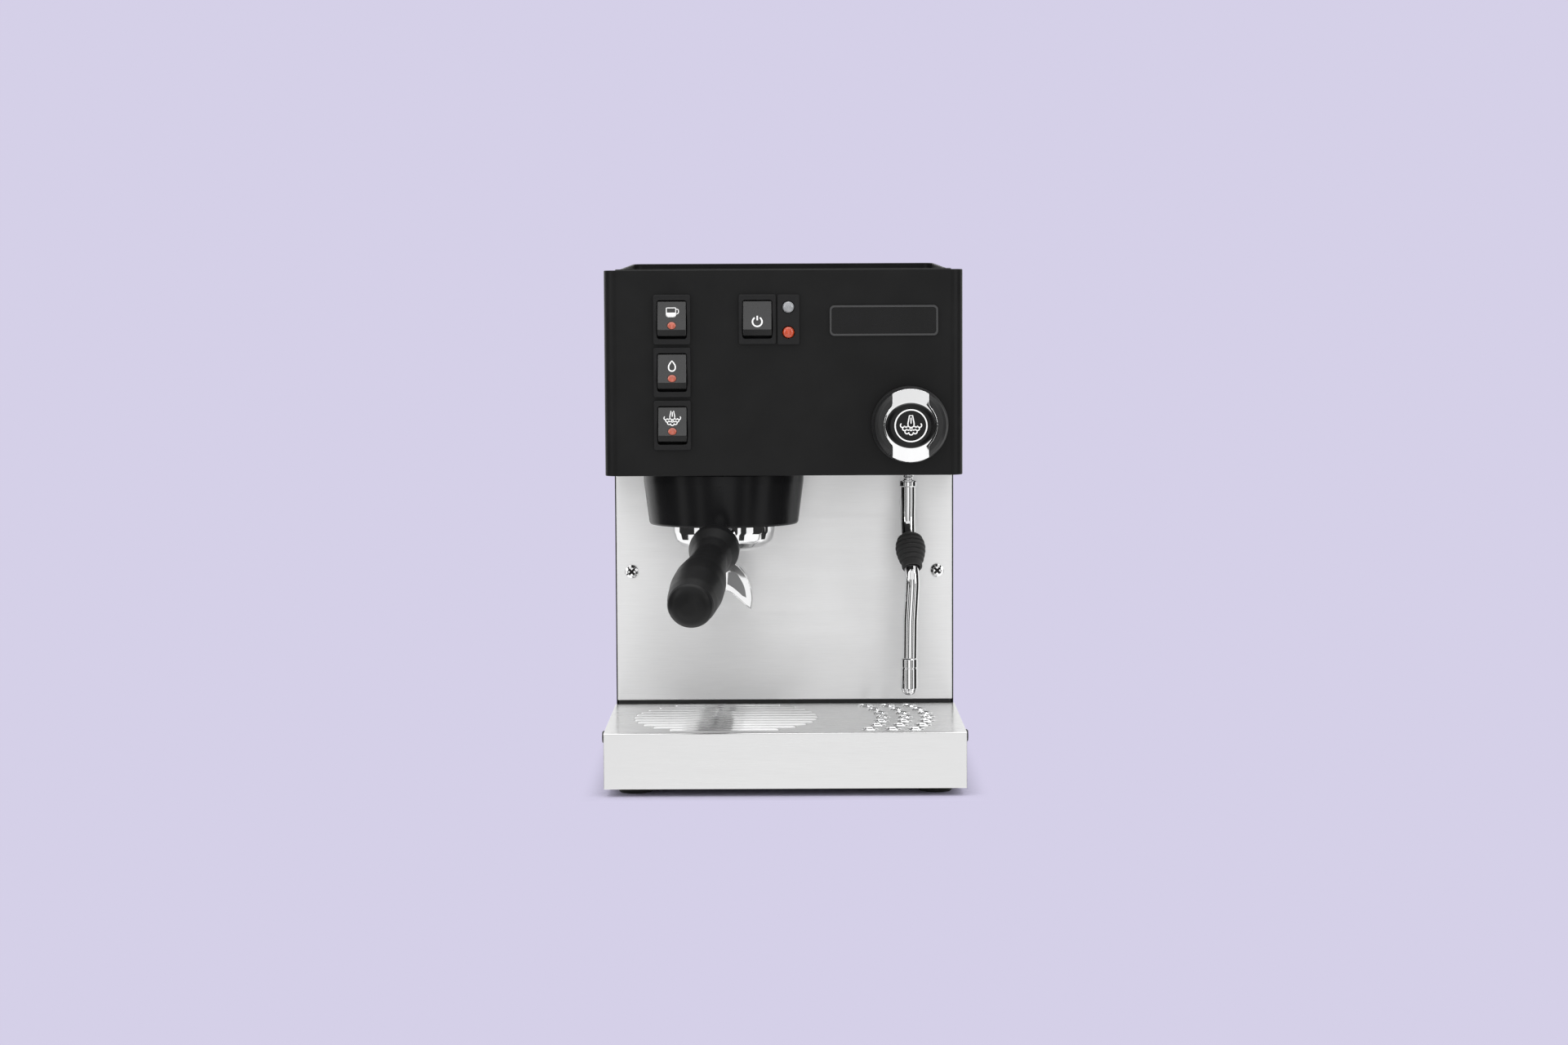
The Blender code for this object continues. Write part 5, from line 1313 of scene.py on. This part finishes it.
def tray_pan():
    """The drip pan: a drawn steel box with rounded corners and a rolled rim."""
    low, high = 7.8, COVER_TOP - SHEET - GAP
    x, y = (-112.0, 112.0), (TRAY_FRONT + SHEET + GAP, TRAY_FRONT + 140.0)
    outside = slab("outside", [panel_outline(x, y, 6.0)], (low, high), "level", 0.5, 3)
    inside = slab("inside",
                  [panel_outline((x[0] + 1.5, x[1] - 1.5), (y[0] + 1.5, y[1] - 1.5), 4.8)],
                  (low + 1.5, high + 9.0), "level", 1.2, 4)
    combine(outside, inside)
    outside.name = "drawn_pan"
    dress(outside, "tray", "stainless", "bright_steel", replaces=["drip_pan"])


def tank():
    """The clear tank with level marks and an outlet below, and its loose lid with a finger tab."""
    x, y = (0.0, 101.0), (TRAY_FRONT + 172.0, TRAY_FRONT + 276.0)
    low, high = 62.0, 332.2
    centre = ((x[0] + x[1]) / 2.0, (y[0] + y[1]) / 2.0, 0.0)
    shell = slab("tank_shell", [panel_outline(x, y, 8.0)], (low, high), "level", 0.8, 3)
    room = slab("room", [panel_outline((x[0] + 2.5, x[1] - 2.5), (y[0] + 2.5, y[1] - 2.5), 5.5)],
                (low + 2.5, high + 20.0), "level", 1.5, 4)
    combine(shell, room)
    spout = lathe("outlet", [(6.0, low + 0.4), (6.0, low - 7.5, 0.6), (5.4, low - 8.0, 0.2),
                             (3.0, low - 8.0), (3.0, low + 0.4)], at=centre, steps=48, ring=True)
    dress(joined("tank_moulding", shell, spout), "tank", "smoked_tank", replaces=["water_tank"])
    marks = [slab("mark", [panel_outline((x[0] + 30.0, x[0] + (52.0 if step % 2 else 42.0)),
                                         (90.0 + 25.0 * step, 90.8 + 25.0 * step), 0.2)],
                  (y[0] - 0.1, y[0] + 0.05), "front", 0.02) for step in range(9)]
    dress(joined("tank_marks", *marks), "tank", "white_plastic", "print_white")

    lid_x, lid_y = (x[0] - 6.0, x[1] + 2.4), (y[0] - 8.0, y[1] + 1.5)
    plate = slab("lid_plate", [panel_outline(lid_x, lid_y, 6.0)], (332.5, 334.5), "level", 0.6, 4)
    ridge = slab("lid_ridge", [panel_outline((lid_x[0] + 5.0, lid_x[1] - 5.0),
                                             (lid_y[0] + 5.0, lid_y[1] - 5.0), 4.0),
                               panel_outline((lid_x[0] + 7.0, lid_x[1] - 7.0),
                                             (lid_y[0] + 7.0, lid_y[1] - 7.0), 3.0)],
                 (334.3, 335.1), "level", 0.35, 3)
    tab = slab("lid_tab", [outline((centre[0] - 18.0, 333.4), (centre[0] + 18.0, 333.4),
                                   (centre[0] + 14.5, 341.2, 3.0), (centre[0] - 14.5, 341.2, 3.0))],
               (y[0], y[0] + 4.0), "front", 0.8, 4)
    dress(joined("lid_moulding", plate, ridge, tab), "lid", "black_plastic", replaces=["tank_lid"])


def inlet():
    """The rear inlet: a moulded box with a deep socket and three flat pins."""
    at = Vector((-80.0, REAR, 84.0))
    keyed = ((-11.5, -7.5, 1.0), (11.5, -7.5, 1.0), (11.5, 4.4, 0.8), (8.4, 7.5, 0.8),
             (-8.4, 7.5, 0.8), (-11.5, 4.4, 0.8))
    box = slab("box", [panel_outline((at.x - 14.0, at.x + 14.0), (at.z - 10.0, at.z + 10.0), 2.0)],
               (REAR - 24.0, REAR - 0.3), "front", 0.5, 3)
    combine(box, slab("socket", [outline(*[(at.x + x, at.z + z, r) for x, z, r in keyed])],
                      (REAR - 17.0, REAR + 5.0), "front", 0.2))
    pins = [block("pin", (at.x + x - 1.9, at.x + x + 1.9), (REAR - 17.5, REAR - 3.5),
                  (at.z + z - 1.0, at.z + z + 1.0), 0.3)
            for x, z in ((-7.0, -1.4), (7.0, -1.4), (0.0, 2.4))]
    dress(box, "casing", "black_plastic", replaces=["power_inlet"])
    dress(joined("inlet_pins", *pins), "casing", "brass")


tray_cover()
tray_pan()
tank()
inlet()


# ---------------------------------------------------------------- stage, lights and camera

BACKDROP = (0.665, 0.631, 0.807)
STAGE_RADIUS = 6.0


def backdrop_material(fading):
    """Pale lilac: lit where the object stands, and an even glow further out."""
    material = bpy.data.materials.new("stage_" + ("floor" if fading else "dome"))
    material.use_nodes = True
    nodes = material.node_tree.nodes
    links = material.node_tree.links
    nodes.clear()
    output = nodes.new("ShaderNodeOutputMaterial")
    glow = nodes.new("ShaderNodeEmission")
    glow.inputs["Color"].default_value = (*BACKDROP, 1.0)
    if not fading:
        links.new(glow.outputs["Emission"], output.inputs["Surface"])
        return material
    diffuse = nodes.new("ShaderNodeBsdfDiffuse")
    diffuse.inputs["Color"].default_value = (*(0.86 * channel for channel in BACKDROP), 1.0)
    place = nodes.new("ShaderNodeTexCoord")
    reach = nodes.new("ShaderNodeVectorMath")
    reach.operation = "ABSOLUTE"
    parts = nodes.new("ShaderNodeSeparateXYZ")
    larger = nodes.new("ShaderNodeMath")
    larger.operation = "MAXIMUM"
    scale = nodes.new("ShaderNodeMapping")
    scale.vector_type = "POINT"
    scale.inputs["Location"].default_value = (0.0, -0.354, 0.0)
    scale.inputs["Scale"].default_value = (8.51, 6.90, 0.0)
    links.new(place.outputs["Object"], scale.inputs["Vector"])
    links.new(scale.outputs["Vector"], reach.inputs[0])
    links.new(reach.outputs["Vector"], parts.inputs["Vector"])
    links.new(parts.outputs["X"], larger.inputs[0])
    links.new(parts.outputs["Y"], larger.inputs[1])
    fade = nodes.new("ShaderNodeMapRange")
    fade.interpolation_type = "SMOOTHERSTEP"
    fade.inputs["From Min"].default_value = 0.97
    fade.inputs["From Max"].default_value = 1.16
    links.new(larger.outputs["Value"], fade.inputs["Value"])
    mix = nodes.new("ShaderNodeMixShader")
    links.new(fade.outputs["Result"], mix.inputs["Fac"])
    links.new(diffuse.outputs["BSDF"], mix.inputs[1])
    links.new(glow.outputs["Emission"], mix.inputs[2])
    links.new(mix.outputs["Shader"], output.inputs["Surface"])
    return material


def stage_piece(name, build, material):
    """A piece of the stage that casts no shadow and no light on the object."""
    mesh = bpy.data.meshes.new(name)
    shape = bmesh.new()
    build(shape)
    shape.to_mesh(mesh)
    shape.free()
    for face in mesh.polygons:
        face.use_smooth = True
    mesh.materials.append(material)
    piece = bpy.data.objects.new(name, mesh)
    bpy.context.scene.collection.objects.link(piece)
    piece.visible_diffuse = False
    piece.visible_glossy = False
    piece.visible_shadow = False
    return piece


def dome(shape):
    """The backdrop all round."""
    bmesh.ops.create_uvsphere(shape, u_segments=64, v_segments=32, radius=STAGE_RADIUS)


def floor(shape):
    """The ground."""
    bmesh.ops.create_circle(shape, cap_ends=True, segments=96, radius=STAGE_RADIUS * 0.999)


def underlay(shape):
    """A dark sheet under the object, which deepens its contact shadow."""
    corners = [(-0.113, -0.090), (0.113, -0.090), (0.113, 0.193), (-0.113, 0.193)]
    shape.faces.new([shape.verts.new((x, y, -0.0006)) for x, y in corners])


def dark_material():
    """Near black, for the underlay."""
    material = bpy.data.materials.new("stage_underlay")
    material.use_nodes = True
    material.node_tree.nodes["Principled BSDF"].inputs["Base Color"].default_value = (
        0.02, 0.02, 0.02, 1.0)
    return material


stage_piece("stage_floor", floor, backdrop_material(True))
under = stage_piece("stage_underlay", underlay, dark_material())
under.visible_diffuse = True
under.visible_glossy = True
under.visible_shadow = True
stage_piece("stage_dome", dome, backdrop_material(False))


def area_light(name, place, aim, size, power):
    """A soft box that lights the object and isn't seen by the camera."""
    data = bpy.data.lights.new(name, "AREA")
    data.shape = "RECTANGLE"
    data.size, data.size_y = size
    data.energy = power
    lamp = bpy.data.objects.new(name, data)
    lamp.location = place
    lamp.rotation_mode = "QUATERNION"
    lamp.rotation_quaternion = (Vector(aim) - Vector(place)).to_track_quat("-Z", "Y")
    bpy.context.scene.collection.objects.link(lamp)
    lamp.visible_camera = False


def flag(name, middle, width, low, high):
    """A dark upright card that only shows in reflections, square on to the object."""
    material = bpy.data.materials.new(name)
    material.use_nodes = True
    nodes = material.node_tree.nodes
    nodes.clear()
    glow = nodes.new("ShaderNodeEmission")
    glow.inputs["Color"].default_value = (0.03, 0.03, 0.03, 1.0)
    output = nodes.new("ShaderNodeOutputMaterial")
    material.node_tree.links.new(glow.outputs["Emission"], output.inputs["Surface"])
    across = Vector((middle[1], -middle[0], 0.0)).normalized() * (width / 2.0)
    centre = Vector((middle[0], middle[1], 0.0))

    def card(shape):
        """The card's one face."""
        corners = [centre - across, centre + across]
        shape.faces.new([shape.verts.new((spot.x, spot.y, z)) for spot, z in (
            (corners[0], low), (corners[1], low), (corners[1], high), (corners[0], high))])

    piece = stage_piece(name, card, material)
    piece.visible_camera = False
    piece.visible_transmission = False
    piece.visible_glossy = True


for label, *card in (("front_left", (-1.05, -2.5), 0.80, -1.5, 1.2),
                     ("front_right", (1.10, -2.5), 0.70, -1.5, 1.2),
                     ("left", (-1.9, -1.7), 0.75, -1.5, 2.2),
                     ("right", (1.75, -1.75), 0.60, -1.5, 2.2),
                     ("far_left", (-2.6, 0.2), 2.4, -1.0, 2.2),
                     ("far_right", (2.6, 0.2), 2.4, -1.0, 2.2)):
    flag(f"stage_flag_{label}", *card)
area_light("top_light", (0.0, -0.1, 1.6), (0.0, 0.0, 0.1), (1.6, 1.2), 10.0)
area_light("left_light", (-1.5, -0.9, 0.9), (0.0, 0.0, 0.2), (0.5, 1.2), 5.0)
area_light("right_light", (1.5, -0.9, 0.9), (0.0, 0.0, 0.2), (0.5, 1.2), 5.0)

world = bpy.data.worlds.new("studio")
world.use_nodes = True
sky = world.node_tree.nodes
direction = sky.new("ShaderNodeTexCoord")
height = sky.new("ShaderNodeSeparateXYZ")
glow_range = sky.new("ShaderNodeMapRange")
for socket, value in (("From Min", -0.25), ("From Max", 0.25), ("To Min", 1.14), ("To Max", 0.92)):
    glow_range.inputs[socket].default_value = value
world.node_tree.links.new(direction.outputs["Generated"], height.inputs["Vector"])
world.node_tree.links.new(height.outputs["Z"], glow_range.inputs["Value"])
world.node_tree.links.new(glow_range.outputs["Result"], sky["Background"].inputs["Strength"])
sky["Background"].inputs["Color"].default_value = (1.0, 1.0, 1.0, 1.0)
bpy.context.scene.world = world
bpy.context.scene.view_settings.view_transform = "Standard"

camera_data = bpy.data.cameras.new("camera")
camera_data.lens = 67.75
camera_data.sensor_width = 36.0
camera_data.clip_start = 0.05
camera_data.clip_end = 50.0
camera = bpy.data.objects.new("camera", camera_data)
camera.matrix_world = (Matrix.Translation((-0.00014, -1.9841, 0.3163))
                       @ Matrix.Rotation(math.radians(85.81), 4, "X")
                       @ Matrix.Rotation(math.radians(-0.26), 4, "Z"))
bpy.context.scene.collection.objects.link(camera)
bpy.context.scene.camera = camera
